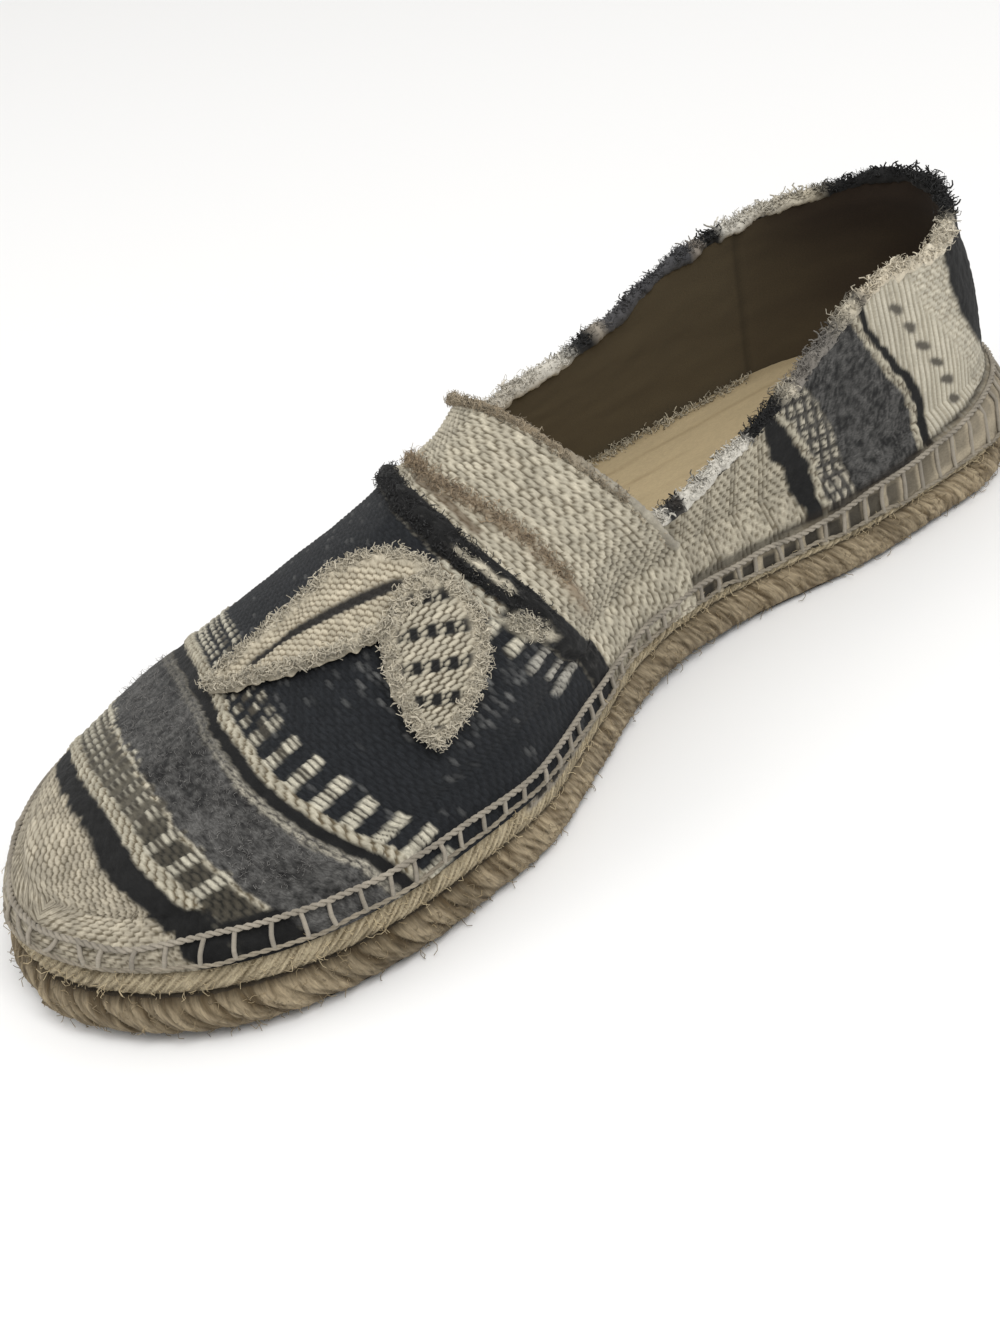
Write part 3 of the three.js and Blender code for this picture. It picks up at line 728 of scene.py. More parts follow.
def vamp_pattern(row, across, u, v):
    """Colour and relief of the striped cloth. Row and v already follow the bowed rows."""
    end = STRIPE_END
    q = row + 0.0028 * noise(u / 1.3, v / 6, 3) + 0.0026 * noise(u / 4.5, v / 9, 4)
    tone = (1 + 0.08 * noise(u / 9, v / 9, 8) + 0.05 * noise(u / 2.6, v / 40, 9))[..., None]
    bent_u = u + 0.5 * noise(u / 14, v / 14, 5)
    beige, height = yarn(bent_u, v + 0.25 * noise(u / 12, v / 12, 6), BEIGE, BEIGE_GAP_SHADE)
    cloth = Cloth(beige * tone, 0.5 * height)
    bent_u = u + 0.5 * noise(u / 9, v / 9, 5)
    toe_tint, toe_height = yarn(bent_u, v, TOE_BEIGE, BEIGE_GAP_SHADE, long=2.1, pitch=0.86, salt=17)
    toe_tint = toe_tint * tone * (1 + 0.2 * rough_noise(u / 2.2, v / 2.2, 18))[..., None]
    cloth.lay(step(q, 0.96, STRIPE_EDGE), toe_tint, 0.45 * toe_height)

    # Black ragged band
    clump = rough_noise(u / 1.5, v / 1.5, 11)
    lump = rough_noise(u / 2.6, v / 1.4, 12)
    fleck = smooth((noise(u / 0.8, v / 0.8, 13) - 0.5) / 0.3) * 0.35
    band = stripe(q, "beige", "black band")
    ragged = lerp(varied(BLACK, 0.5 * clump), lin((74, 73, 71)), fleck)
    cloth.lay(band, ragged, 0.7 + 0.8 * lump + 0.4 * clump)

    fine, fine_value = grains(u, v, long=2.6, pitch=1.05, tilt=0.2, salt=20)
    cream, strokes, navy_zone = navy_field(cloth, q, across, u, v, clump, fine, fine_value)

    # Check rows in front of the navy field: long blocks medially, small broken ones laterally
    far = smooth((across - 0.36) / 0.1)
    small_cell = between((u / 3.9 + 0.25 * np.floor(v / 2.45)) % 1.0, 0.12, 0.64, 0.14)
    small_cell = small_cell * repeat(v, 2.45, 0.08, 0.84, 0.16)
    cell = repeat(u, CHECK_PITCH, 0.12, 0.54, 0.08) * (1 - far) + small_cell * far
    start = end["navy"] + 0.012 * (cell_value(np.floor(u / CHECK_PITCH), 0, 33) - 0.5)
    cloth.lay(cell * between(q, start, end["checks"] + 0.002, 0.006), cream, 0.3 + 0.45 * strokes)

    # Light rope, then a black line with felt in front of it
    rope_tint, rope = yarn(u, v, ROPE_CREAM, (96, 86, 68), long=2.5, pitch=1.1, tilt=0.55, salt=40)
    cloth.lay(stripe(q, "checks", "rope"), rope_tint, 0.4 + 0.6 * rope)
    cloth.lay(stripe(q, "rope", "black line"), varied(BLACK, 0.35 * clump), 0.25 + 0.2 * clump)
    felt_zone = felt_field(cloth, q, across, u, v, fine, fine_value)

    # Row of light blocks with olive squares between their feet, then the second rope
    wide_cell = between(((u - 0.25 * (v - 104)) / DASH_PITCH + 0.3) % 1.0, 0.14, 0.52, 0.08)
    cell = wide_cell * (1 - far) + repeat(u, 4.2, 0.12, 0.62, 0.14) * far
    # Painted shade: the olive darkens where the floats are low, in the hollows between them
    olive = lerp(lin((36, 35, 32)), lin((72, 68, 59)), fine)
    foot = between(q, end["felt"] + 0.006, end["dashes"] + 0.001, 0.006)
    cloth.lay(foot, olive, 0.2 * fine)
    cloth.lay(foot * far * 0.7, olive + (lin((112, 107, 95)) - olive) * 0.6, 0.3 * fine)
    jag = 0.008 * (cell_value(np.floor(u / DASH_PITCH + 0.3), 0, 61) - 0.5)
    block = cell * between(q, end["felt"] + jag - 0.003, end["dashes"] + 0.002, 0.006)
    cloth.lay(block * smooth((across - 0.01) / 0.05), cream * 0.9, 0.35 + 0.5 * strokes)
    cloth.lay(stripe(q, "dashes", "second rope"), rope_tint, 0.4 + 0.6 * rope)

    # Black toe stripe. The hem is black where the dashes and this stripe run down to it
    # Besides its random clumps, the black is painted lighter on the float tops and darker in the hollows
    # between them
    black = varied(BLACK, 0.4 * clump + 0.2 * (fine - 0.5))
    cloth.lay(stripe(q, "second rope", "black stripe"), black, 0.3 + 0.2 * clump)
    patch_here = step(-0.3, across, 0.1) * between(row, 0.885, 0.965, 0.012)
    patch_here = np.maximum(patch_here, step(0.03, across, 0.05) * between(row, 0.93, 0.965, 0.01))
    cloth.lay(smooth(patch_here * (1.1 + 0.5 * lump)), black, 0.3 + 0.2 * clump)

    # Raised brown pleat behind the black band; its brown is painted shade along the fold
    pleat = between(across, 0.06, 0.66, 0.12) * bell((q - pleat_row(across)) / 0.014)
    pleat = pleat * smooth(0.8 + 0.6 * rough_noise(u / 4, v / 2, 71))
    cloth.lay(0.85 * pleat, varied(PLEAT_FOLD_SHADE, 0.25 * clump), 1.3 + 0.5 * clump)
    spots = between(across, 0.28, 0.55, 0.1) * between(q, 0.222, 0.24, 0.008)
    spots = spots * smooth((noise(u / 2.4, v / 2, 74) - 0.1) / 0.3)
    cloth.lay(0.75 * spots, lin((92, 78, 62)), 0.3)

    # Pale tufts over the front edge of the black band
    tuft = smooth(2.2 * tuft_share(q, across) * (1 + 0.5 * lump) - 0.5)
    cloth.lay(tuft, varied((170, 163, 146), 0.4 * clump), 0.9 + 0.8 * clump)
    return with_mottle(cloth.colour, 2.2 * felt_zone + 1.2 * band + 0.8 * navy_zone), cloth.relief


vamp_rows = np.linspace(0, 1, 1500)
ridge_length = arc_length(vamp_point(row_run(vamp_rows, 0.5), 0.5, 0))


def end_distance(at, side, from_toe=False):
    """Length along the outline from the heel's end, or from the toe's."""
    turn = (1 - np.cos(np.linspace(0, np.pi, 1500))) / 2
    if from_toe:
        turn = 1 - turn
    lengths = []
    for one in (1, -1):
        x, y = outline(turn, one, 0.0)
        lengths.append(np.interp(abs(turn[0] - at), abs(turn[0] - turn), arc_length(stacked(x, y))))
    return pick(side, lengths[0], lengths[1])


def hem_weave(row, across):
    """Weave directions on the hem: along the outline from the toe, and up."""
    side = np.where(across < 0.5, 1, -1)
    back = pick(side, VAMP_BACK[1], VAMP_BACK[-1])
    at = back + (1 - back) * row_run(row, np.where(across < 0.5, 0.0, 1.0))
    below = np.where(across < 0.5, -across, across - 1)
    return side * end_distance(at, side, from_toe=True), 118 + 9.0 * below


def vamp_spot(row, across, lift):
    """Point and normal on the vamp's cloth."""
    e = 1e-3
    p = vamp_point(row_run(row, across), across, -vamp_lap(row))
    a = vamp_point(row_run(np.minimum(row + e, 0.999), across), across, -vamp_lap(row))
    b = vamp_point(row_run(row, across), np.minimum(across + e, 1), -vamp_lap(row))
    n = unit(np.cross(a - p, b - p))
    n = np.where(n[..., 2:3] < -0.3, -n, n)
    return p + n * (lift - 0.6 * smooth((across - 0.55) / 0.3) - 0.2)[..., None], n


def make_vamp():
    rows = np.interp(np.linspace(0, ridge_length[-1], VAMP_ROWS), ridge_length, vamp_rows)
    rows[-1] = 1.0
    sheet, spot, reach = vamp_sheet(rows, VAMP_COLUMNS)
    rows = rows[:, None]
    normal = grid_normals(sheet)
    normal = normal * np.sign(normal[VAMP_ROWS // 2, VAMP_COLUMNS // 2, 2])
    normal[-1] = normal[-2]
    normal[:, [0, -1]] = normal[:, [1, -2]]
    row = straight_row(rows, spot)
    round_toe = step(rows, 0.93, 0.03) * ((spot < 0) | (spot > 1))
    edge_u, edge_v = hem_weave(rows, spot)
    along_ridge = np.interp(row, vamp_rows, ridge_length)
    u = reach + (edge_u - reach) * round_toe
    v = along_ridge + (edge_v - along_ridge) * round_toe
    shades, relief = vamp_pattern(row, spot, u, v)
    fold = 1.5 * bell((row - 0.288) * RIDGE_LENGTH / 3.0)
    relief = relief + fold * between(spot, -0.1, 1.1, 0.2) - 0.45
    relief = relief + 0.4 * rough_noise(reach / 16, v / 16, 90)
    relief = relief - 0.5 * smooth((spot - 0.55) / 0.3)
    relief = relief - 0.8 * smooth((spot - 0.5) / 0.3) * smooth((0.26 - rows) / 0.12)
    low_end = smooth((np.minimum(spot + 1, 2 - spot)) / 0.5)
    near_toe = smooth((1 - rows) / 0.02)
    surface = sheet + normal * (relief * (0.35 + 0.65 * low_end) * near_toe)[..., None]
    return grid_object("vamp_cloth", surface, shades, stacked(reach, v, 0), cloth_look, flip=True)


# Quarter, from its medial front end round the heel to its lateral front end
QUARTER_COLUMNS = 520
HEM_STEPS = 18
WALL_STEPS = 84


def quarter_track(count):
    """Stations and sides spread evenly by length."""
    turn = np.linspace(0, np.pi / 2, 1200)
    medial, lateral = [QUARTER_FRONT[side] * (1 - np.cos(turn)) for side in (1, -1)]
    medial_length = arc_length(quarter_point(medial, 1, 0.5, 0))
    lateral_length = arc_length(quarter_point(lateral, -1, 0.5, 0))
    goal = np.linspace(0, medial_length[-1] + lateral_length[-1], count) - medial_length[-1]
    side = np.where(goal < 0, 1, -1)
    at = pick(side, np.interp(-goal, medial_length, medial), np.interp(goal, lateral_length, lateral))
    return at, side, goal


# Stations of the bands' front edges up the quarter, from the hem to the collar
QUARTER_BANDS = table(
    "at front back line dashes felt rope thin dots heel",
    [
        (-0.15, 0.312, 0.294, 0.288, 0.262, 0.184, 0.176, 0.165, 0.13, 0.03),
        (0.0, 0.314, 0.291, 0.285, 0.26, 0.177, 0.169, 0.157, 0.12, 0.035),
        (0.25, 0.319, 0.296, 0.29, 0.265, 0.182, 0.174, 0.163, 0.131, 0.072),
        (0.5, 0.329, 0.306, 0.3, 0.273, 0.202, 0.194, 0.184, 0.15, 0.092),
        (0.75, 0.335, 0.314, 0.308, 0.283, 0.217, 0.21, 0.2025, 0.169, 0.098),
        (1.0, 0.337, 0.324, 0.318, 0.293, 0.228, 0.22, 0.211, 0.182, 0.096),
    ],
)


def quarter_pattern(at, share, u, v):
    """Colour and relief of the quarter's cloth. u runs up the wall and v along the shoe."""
    edge = {name: along(QUARTER_BANDS, name, np.clip(share, -0.15, 1.0)) for name in QUARTER_BANDS}

    def band(after, last, width=0.004):
        return between(at, edge[after], edge[last], width)

    at = at + 0.0022 * noise(u / 1.5, v / 5, 103) + 0.001 * noise(u / 4, v / 9, 104)
    side_height, side_value = grains(u, v, long=2.6, pitch=1.15, slant=0.0, salt=106)
    tone = (1 + 0.08 * noise(u / 9, v / 9, 108))[..., None]
    beige = weave_tint(side_height, side_value, (166, 159, 142), BEIGE_GAP_SHADE) * tone
    cloth = Cloth(beige, 0.5 * side_height)
    clump = rough_noise(u / 1.6, v / 1.6, 111)
    black = varied(BLACK, 0.35 * clump)
    cloth.lay(band("back", "front"), black, 0.45 + 0.25 * clump)
    rope_tint, rope = yarn(u, v, ROPE_CREAM, (92, 84, 70), long=2.4, pitch=1.3, slant=-0.3, salt=112)
    cloth.lay(band("line", "back"), rope_tint, 0.3 + 0.5 * rope)
    pale, strokes = yarn(v, u, (164, 158, 143), (60, 57, 51), long=1.9, pitch=1.2, slant=0.1, salt=113)
    grey = weave_tint(side_height, side_value, (72, 70, 66), (40, 38, 36))
    blocks = between((v / 2.3 + 0.04 * u) % 1.0, 0.12, 0.66, 0.14) * repeat(u, 3.3, 0.05, 0.8, 0.12)
    cloth.lay(band("dashes", "line"), lerp(grey, pale, blocks), 0.3 + 0.4 * strokes * blocks)
    mottle = 0.5 + 0.5 * rough_noise(u / 1.7, v / 1.7, 114)
    fuzz = 0.5 + 0.5 * noise(u / 0.55, v / 0.55, 115)
    felt_mix = smooth((0.6 * mottle + 0.4 * fuzz - 0.22) / 0.6)
    felt_zone = band("felt", "dashes")
    felt = lerp(lin(FELT_DARK) * 0.8, lin(FELT_LIGHT) * 0.85, felt_mix)
    cloth.lay(felt_zone, felt, 0.35 + 0.3 * mottle)
    cloth.lay(band("rope", "felt"), rope_tint, 0.3 + 0.6 * rope)
    cloth.lay(band("thin", "rope", 0.0028), black * 0.9, 0.2)
    rib = 0.5 + 0.5 * np.sin(2 * np.pi * v / 1.5 + 0.5 * noise(u / 3, v / 3, 116))
    ribbed = weave_tint(rib, side_value, (186, 180, 164), (136, 129, 112), 0.06) * tone
    cloth.lay(step(edge["thin"], at, 0.004), ribbed, 0.35 * rib)
    centre = ((share + 0.02) / 0.163 + 0.5) % 1.0 - 0.5
    dot = bell(centre / 0.3) * bell((at - edge["dots"] - 0.006 * centre) / 0.006)
    cloth.lay(smooth(1.8 * dot * between(share, -0.18, 0.92, 0.05) - 0.2), lin((84, 80, 72)), 0.05)
    plain, height = yarn(v, u, (184, 178, 162), (140, 132, 115), long=2.4, pitch=1.1, slant=0.12, salt=105)
    cloth.lay(step(edge["dots"] - 0.03, at, 0.02), plain * tone, 0.3 * height)
    cloth.lay(step(edge["heel"], at, 0.008), black * 1.05, 0.5 + 0.3 * clump)
    return Cloth(with_mottle(cloth.colour, 2.2 * felt_zone), cloth.relief)


def make_quarter():
    at, side, goal = [part[:, None] for part in quarter_track(QUARTER_COLUMNS)]
    hem_share = np.linspace(0, 1, HEM_STEPS + 1)[:-1]
    wall_share = np.linspace(0, 1, WALL_STEPS)
    wall = quarter_point(at, side, wall_share, 0)
    sheet = np.concatenate([hem_point(at, side, hem_share), wall], axis=1)
    steps = np.linalg.norm(np.diff(sheet, axis=1), axis=2)
    u = np.concatenate([np.zeros((QUARTER_COLUMNS, 1)), np.cumsum(steps, axis=1)], axis=1)
    normal = grid_normals(sheet)
    normal = normal * np.sign(normal[QUARTER_COLUMNS // 4, 60, 1])
    share = np.concatenate([hem_share - 1, wall_share])
    at, side, share, u, v = np.broadcast_arrays(at, side, share, u, goal)
    cloth = quarter_pattern(at, np.where(share < 0, share * 0.3, share), u, v)

    # Hem with dark cloth between its stitches, and the groove above it, darkened with painted shade
    over_seam = share - sided(SEAM, at, side) + 1
    clump = rough_noise(u / 1.3, v / 2.2, 120)
    gaps = repeat(end_distance(at, side), STITCH_PITCH, 0.18, 0.82, 0.12)
    gaps = gaps * between(over_seam, -0.3, -0.04, 0.05) * (0.35 + 0.6 * smooth((at - 0.1) / 0.2))
    tint = lerp(varied((150, 140, 121), 0.25 * clump), lin((46, 43, 38)), gaps)
    cloth.lay(step(0, over_seam, 0.05), with_mottle(tint, 0), 0.7 + 0.35 * clump - 0.6 * gaps)
    shaded_groove = bell((over_seam - 0.05) / 0.05)
    # Painted shade in the groove above the hem
    cloth.colour[..., :3] = lerp(cloth.colour[..., :3], lin((38, 33, 28)), 0.85 * shaded_groove)
    relief = cloth.relief - 0.5 * shaded_groove
    relief = relief + 0.6 * rough_noise(u / 18, v / 18, 121) * smooth(share * 3)
    hidden = smooth((at - pick(side, VAMP_BACK[1], VAMP_BACK[-1])) / 0.012)
    relief = relief * (1 - hidden) - 1.3 * hidden
    relief = relief - 1.7 * smooth(1 - at / 0.09) * np.sin(np.pi * np.clip(share, 0, 1) ** 0.8)
    surface = sheet + normal * relief[..., None]
    return grid_object("quarter_cloth", surface, cloth.colour, stacked(v, u, 0), cloth_look)


def make_quarter_lining():
    share = np.linspace(-0.25, 1, 40)
    at, side, goal = [part[:, None] for part in quarter_track(240)]
    tucked = 3.0 * smooth((at - pick(side, VAMP_BACK[1], VAMP_BACK[-1])) / 0.02)
    inner = quarter_point(at, side, np.clip(share, 0, 1), CLOTH_WALL + tucked)
    inner = inner - np.clip(-share, 0, 1)[:, None] * np.array([0, 0, 26.0])
    inner = inner + grid_normals(inner) * (0.35 * rough_noise(goal / 14, share * 5, 130))[..., None]
    dark = smooth(1 - at / 0.16) * (0.6 + 0.4 * share)
    dark = np.clip(dark + 0.25 * rough_noise(goal / 22, share * 4, 131), 0, 1)
    back_seam = bell((at - 0.115) / 0.003) * (side < 0)
    shades = lerp(lin(LINING), lin(LINING_DARK), dark) * (1 - 0.35 * back_seam)[..., None]
    weave = stacked(goal, 40 * share, 0.0)
    return grid_object("quarter_lining", inner, shades, weave, lining_look, flip=True)


def make_vamp_lining():
    row = np.linspace(0, 0.995, 70)[:, None]
    across = np.linspace(0, 1, 60)
    lap = smooth(1 - (row * RIDGE_LENGTH - 12) / 12)
    depth = CLOTH_WALL * (1 - 0.4 * lap) + 1.5 * smooth((across - 0.5) / 0.25)
    inner = vamp_point(row_run(row, across), across, depth)
    shades = np.broadcast_to(lin(LINING) * 0.9, inner.shape)
    return grid_object("vamp_lining", inner, shades, stacked(100 * across, 110 * row, 0.0), lining_look)


# Sole parts
JUTE_COLUMNS = 1300
JUTE_LEVELS = 34
GROOVE_AT = 0.47


def girth_track(count):
    """Stations and sides spread evenly round the outline, starting at the heel on the medial side."""
    turn = (1 - np.cos(np.linspace(0, np.pi, 3000))) / 2
    medial, lateral = [arc_length(stacked(*outline(turn, side, 0.0))) for side in (1, -1)]
    total = medial[-1] + lateral[-1]
    goal = np.arange(count) * total / count
    first = goal < medial[-1]
    at = np.where(first, np.interp(goal, medial, turn), np.interp(total - goal, lateral, turn))
    return at, np.where(first, 1, -1), goal, total


def make_jute(at, side, s, girth):
    """Two rows of braid. Behind the ball the lower one is calmer, with finer strands."""
    t = np.linspace(0, 1, JUTE_LEVELS)[:, None]
    low = t <= GROOVE_AT
    top = 1 - (HEM_DROP * along(HEM, "drop", at) + 0.5) / JUTE + 0.06
    low_t = np.clip(t / GROOVE_AT, 0, 1)
    high_t = np.clip((t - GROOVE_AT) / (1 - GROOVE_AT), 0, 1)
    share = np.where(t < GROOVE_AT, t, GROOVE_AT + high_t * (top - GROOVE_AT))
    rise = JUTE * share
    lobe_pitch = girth / round(girth / 6.2)
    lobe_place = (s - 1.5 * rise + 1.1 * noise(s / 17, 0, 140)) / lobe_pitch
    lobe = np.abs(np.sin(np.pi * lobe_place))
    strand_pitch = girth / round(girth / 1.75)
    strand = np.abs(np.sin(np.pi * (s + 1.15 * rise + 0.8 * noise(s / 13, 0, 141)) / strand_pitch))
    bow_low = np.sqrt(np.clip(1 - (2 * low_t - 1) ** 2, 0, 1))
    bow_high = np.sqrt(np.clip(1 - (2 * high_t - 1) ** 2 * 0.9, 0, 1))
    medial_side = (side > 0) * smooth(at / 0.1)
    at_toe = smooth((at - 0.86) / 0.1) * (0.3 + 0.9 * medial_side)
    calm = 1 - smooth((at - 0.66) / 0.14)
    sub = np.abs(np.sin(np.pi * (s - 1.5 * rise) / (lobe_pitch / 3) + 2.2 * noise(s / 5, rise / 4, 148)))
    push = 0.6 * medial_side - 1.0 * smooth(1 - at / 0.12)
    out_low = push - 1.6 + 0.9 * calm + (1.9 - 0.5 * calm + 0.9 * at_toe) * bow_low
    out_low = out_low + ((1.0 - 0.75 * calm) * lobe**0.6 + 0.4 * sub) * bow_low
    out_low = out_low + 0.4 * rough_noise((s - 1.2 * rise) / 0.8, (rise + 0.8 * s) / 4, 142)
    out_high = 0.6 * push - 1.5 + 0.8 * calm + (1.8 - 0.6 * calm) * bow_high + 0.5 * strand**0.7 * bow_high
    out_high = out_high + 0.3 * rough_noise((s + 1.1 * rise) / 1.1, (rise - 0.8 * s) / 4, 143)
    x, y = outline(at, side, np.where(low, out_low, out_high))
    points = stacked(x, y, ground(at) + JUTE_BOTTOM + rise - 1.5 * (1 - low_t) ** 1.5)
    fibre_low = noise((s - 0.9 * rise) / 0.7, (rise + 0.7 * s) / 6, 144)
    fibre_high = noise((s + 1.0 * rise) / 0.6, (rise - 0.7 * s) / 5, 145)
    # Painted shade: each braid row darkens between its lobes and strands and towards its upper and lower
    # edges, where it turns away
    low_mix = smooth(0.05 + (0.5 - 0.35 * calm) * lobe + 0.2 * calm + 0.32 * sub + 0.45 * fibre_low)
    tone_low = lerp(lin(JUTE_LOW_SHADE), lin(JUTE_LOW_IN_SHADE), low_mix * (0.5 + 0.5 * bow_low))
    tone_low = tone_low * (1 + 0.3 * calm)[..., None]
    tone_low = tone_low * (0.85 + 0.3 * cell_value(np.floor(lobe_place), 0, 146))[..., None]
    high_mix = smooth(0.15 + 0.75 * strand * bow_high + 0.45 * fibre_high)
    shades = np.where(low[..., None], tone_low, lerp(lin(JUTE_SHADE), lin(JUTE_LIGHT), high_mix))
    # Painted shade in the groove between the two braid rows
    shaded_groove = (0.9 - 0.4 * calm) * bell((share - GROOVE_AT) / (0.05 - 0.02 * calm))
    shades = lerp(shades, lin(JUTE_GROOVE_SHADE) * 0.8, shaded_groove)
    shades = shades * (1 + 0.12 * rough_noise(s / 9, rise / 5, 147))[..., None]

    # Dark cloth between stitch frames hangs over the braid's upper edge at the waist
    hang = (side > 0) * between(at, 0.545, 0.7, 0.01) * smooth((high_t - 0.62) / 0.06)
    frame_hole = repeat(s, STITCH_PITCH, 0.2, 0.84, 0.1) * smooth((high_t - 0.72) / 0.06)
    shades = lerp(shades, lerp(lin(STITCH_GREY), lin((36, 35, 35)), frame_hole), 0.95 * hang)
    fibre_way = rise * 0.75 + np.where(low, 0.66, -0.66) * s
    weave = stacked(fibre_way, s * 0.75 - np.where(low, 0.66, -0.66) * rise, 0)
    return grid_object("jute_braid", points, shades, weave, jute_look, wrap=True), points


def outline_plate(name, count, steps, out, height, shade, material, flip=False):
    """Flat-lying sheet inside the outline. Out and height may change with the station."""
    at = (1 - np.cos(np.linspace(0, np.pi, count))) / 2
    share = np.linspace(-1, 1, steps)
    x, medial = outline(at, 1, out(at))
    _, lateral = outline(at, -1, out(at))
    y = lateral[:, None] + (medial - lateral)[:, None] * (share + 1) / 2
    points = stacked(x[:, None], y, height(at)[:, None])
    colours, relief = shade(share, points)
    points[..., 2] += relief
    return grid_object(name, points, colours, points, material, flip=flip)


def insole_shade(share, points):
    x, y = points[..., 0], points[..., 1]
    lines = bell(((y + 0.05 * x) / 7.5 % 1.0 - 0.5) / 0.06)
    tone = 0.06 * rough_noise(x / 14, y / 5, 150) + 0.03 * noise(x / 1.5, y / 0.6, 151)
    colour = varied(INSOLE_TAN, tone)
    colour = lerp(colour, lin((120, 100, 66)), 0.35 * lines * smooth(0.6 + noise(x / 20, y / 4, 152)))
    rim = smooth((np.abs(share) - 0.86) / 0.1) + 0 * x
    colour = lerp(colour, lin((120, 106, 80)), 0.5 * rim)
    return colour, 0.12 * noise(x / 2.0, y / 1.0, 153) + 0.5 * smooth((np.abs(share) - 0.9) / 0.1)


def tread_shade(share, points):
    x, y = points[..., 0], points[..., 1]
    ribs = 0.5 + 0.5 * np.sin(2 * np.pi * (x + 0.9 * np.abs(y)) / 4.0)
    tone = lerp(lin((44, 40, 36)), lin((88, 82, 74)), 0.5 + 0.5 * rough_noise(x / 12, y / 12, 162))
    return tone, 0.35 * smooth(ribs) * smooth((0.94 - np.abs(share)) / 0.05)


def make_inner_stitches():
    """Pale loose stitches where the lining meets the insole, on the lateral side."""
    at = np.linspace(0.12, 0.66, 180)
    x, y = outline(at, -1, -(hem_inset(at) + CLOTH_WALL + 1.2))
    roots = np.repeat(stacked(x, y, ground(at) + SOLE_TOP + 2.7), 5, axis=0)
    count = len(roots)
    roots = roots + rng.normal(size=(count, 3)) * [0.5, 0.5, 0.25]
    way = unit(rng.normal(size=(count, 3)) * [0.8, 0.8, 0.3] + [0, 0.3, 0.5])
    paths = hairs(roots, way, rng.uniform(0.5, 1.8, count), 0.9, 4, 42)
    tones = lin((176, 166, 144)) * (0.6 + 0.6 * rng.random((count, 1, 1)))
    return threads("inner_stitches", paths, 0.12, tones)


def make_rubber_edge():
    at, side, goal, _ = girth_track(700)
    levels = np.array([0.0, 0.25, 0.6, 1.3, 2.0, 2.25])[:, None]
    outs = np.array([-1.2, -0.6, -0.3, -0.25, -0.3, -0.7])[:, None]
    wobble = 0.2 * noise(goal / 7, 0, 160) * (levels > 0.3)
    x, y = outline(at, side, outs + wobble - 0.9 - 0.3 * smooth(1 - at / 0.12))
    dust = 0.5 + 0.5 * rough_noise(goal / 5, levels / 2, 161)
    shades = lerp(lin((48, 43, 38)), lin(RUBBER_GREY), dust)
    points = stacked(x, y, ground(at) + levels)
    return grid_object("rubber_edge", points, shades, stacked(goal, levels, 0.0), rubber_look, wrap=True)


# Hem seam: a twisted grey line with short legs down to the braid
SEAM_LIFT = 1.05
LEG_LIFT = 0.9


def rope_pair(name, path, pitch, radius, thick, colour):
    """Two twisted strands along a closed path."""
    path = np.concatenate([path, path[:1]])
    length = arc_length(path)
    goal = np.linspace(0, length[-1], int(length[-1] * 1.8))
    track = np.stack([np.interp(goal, length, path[:, k]) for k in range(3)], -1)
    tangent = unit(np.gradient(track, axis=0))
    aside = unit(np.cross(tangent, [0.05, 0.1, 1.0]))
    above = np.cross(tangent, aside)
    turn = 2 * np.pi * goal[:, None] / pitch
    rings = [aside * np.cos(turn + lead) + above * np.sin(turn + lead) for lead in (0, np.pi)]
    paths = [track + ring * radius for ring in rings]
    return threads(name, np.stack(paths), thick, varied(colour, 0.2 * noise(goal / 3, 0, 170)), sides=4)


def lateral_tuck(at, side):
    """How much closer the stitches lie on the lateral side of the vamp."""
    return 1.7 * (side < 0) * smooth((at - 0.48) / 0.1) * smooth((1.005 - at) / 0.03)


def foot_share(at):
    return 0.03 + 0.11 * smooth((at - 0.6) / 0.12)


def make_hem_seams():
    """Upper and lower thread of the stitch frames."""
    at, side, goal, _ = girth_track(1400)
    share = sided(SEAM, at, side) + 0.02 * noise(goal / 9, 0, 171)
    upper = hem_point(at, side, share, SEAM_LIFT - lateral_tuck(at, side))
    upper = rope_pair("hem_seam", upper, 3.2, 0.32, 0.38, STITCH_GREY)
    at, side, goal, _ = girth_track(1100)
    share = foot_share(at) + 0.03 * noise(goal / 6, 0, 172)
    lower = hem_point(at, side, share, LEG_LIFT - lateral_tuck(at, side))
    return upper, rope_pair("hem_foot_seam", lower, 4.0, 0.2, 0.3, (128, 120, 106))


def make_legs():
    seam_at, seam_side, seam_goal, total = girth_track(1400)
    count = int(total / STITCH_PITCH)
    goal = (np.arange(count) + 0.25 * (rng.random(count) - 0.5)) * total / count
    at = np.interp(goal, seam_goal, seam_at)[:, None]
    side = np.where(goal < total * (seam_side > 0).mean(), 1, -1)[:, None]
    t = np.linspace(0, 1, 9)
    path_at = np.clip(at + 0.006 * (rng.random(count)[:, None] - 0.5) * t, 0.0, 1.0)
    share = sided(SEAM, at, side) * (1 - t) + foot_share(at) * t
    paths = hem_point(path_at, side, share, LEG_LIFT - lateral_tuck(path_at, side))
    paths = paths + 0.2 * rng.normal(size=(count, 1, 3)) * np.sin(np.pi * t)[:, None]
    tones = lin(STITCH_GREY) * (0.8 + 0.3 * rng.random((count, 1, 1)))
    return threads("hem_legs", paths, 0.45, tones, sides=5)


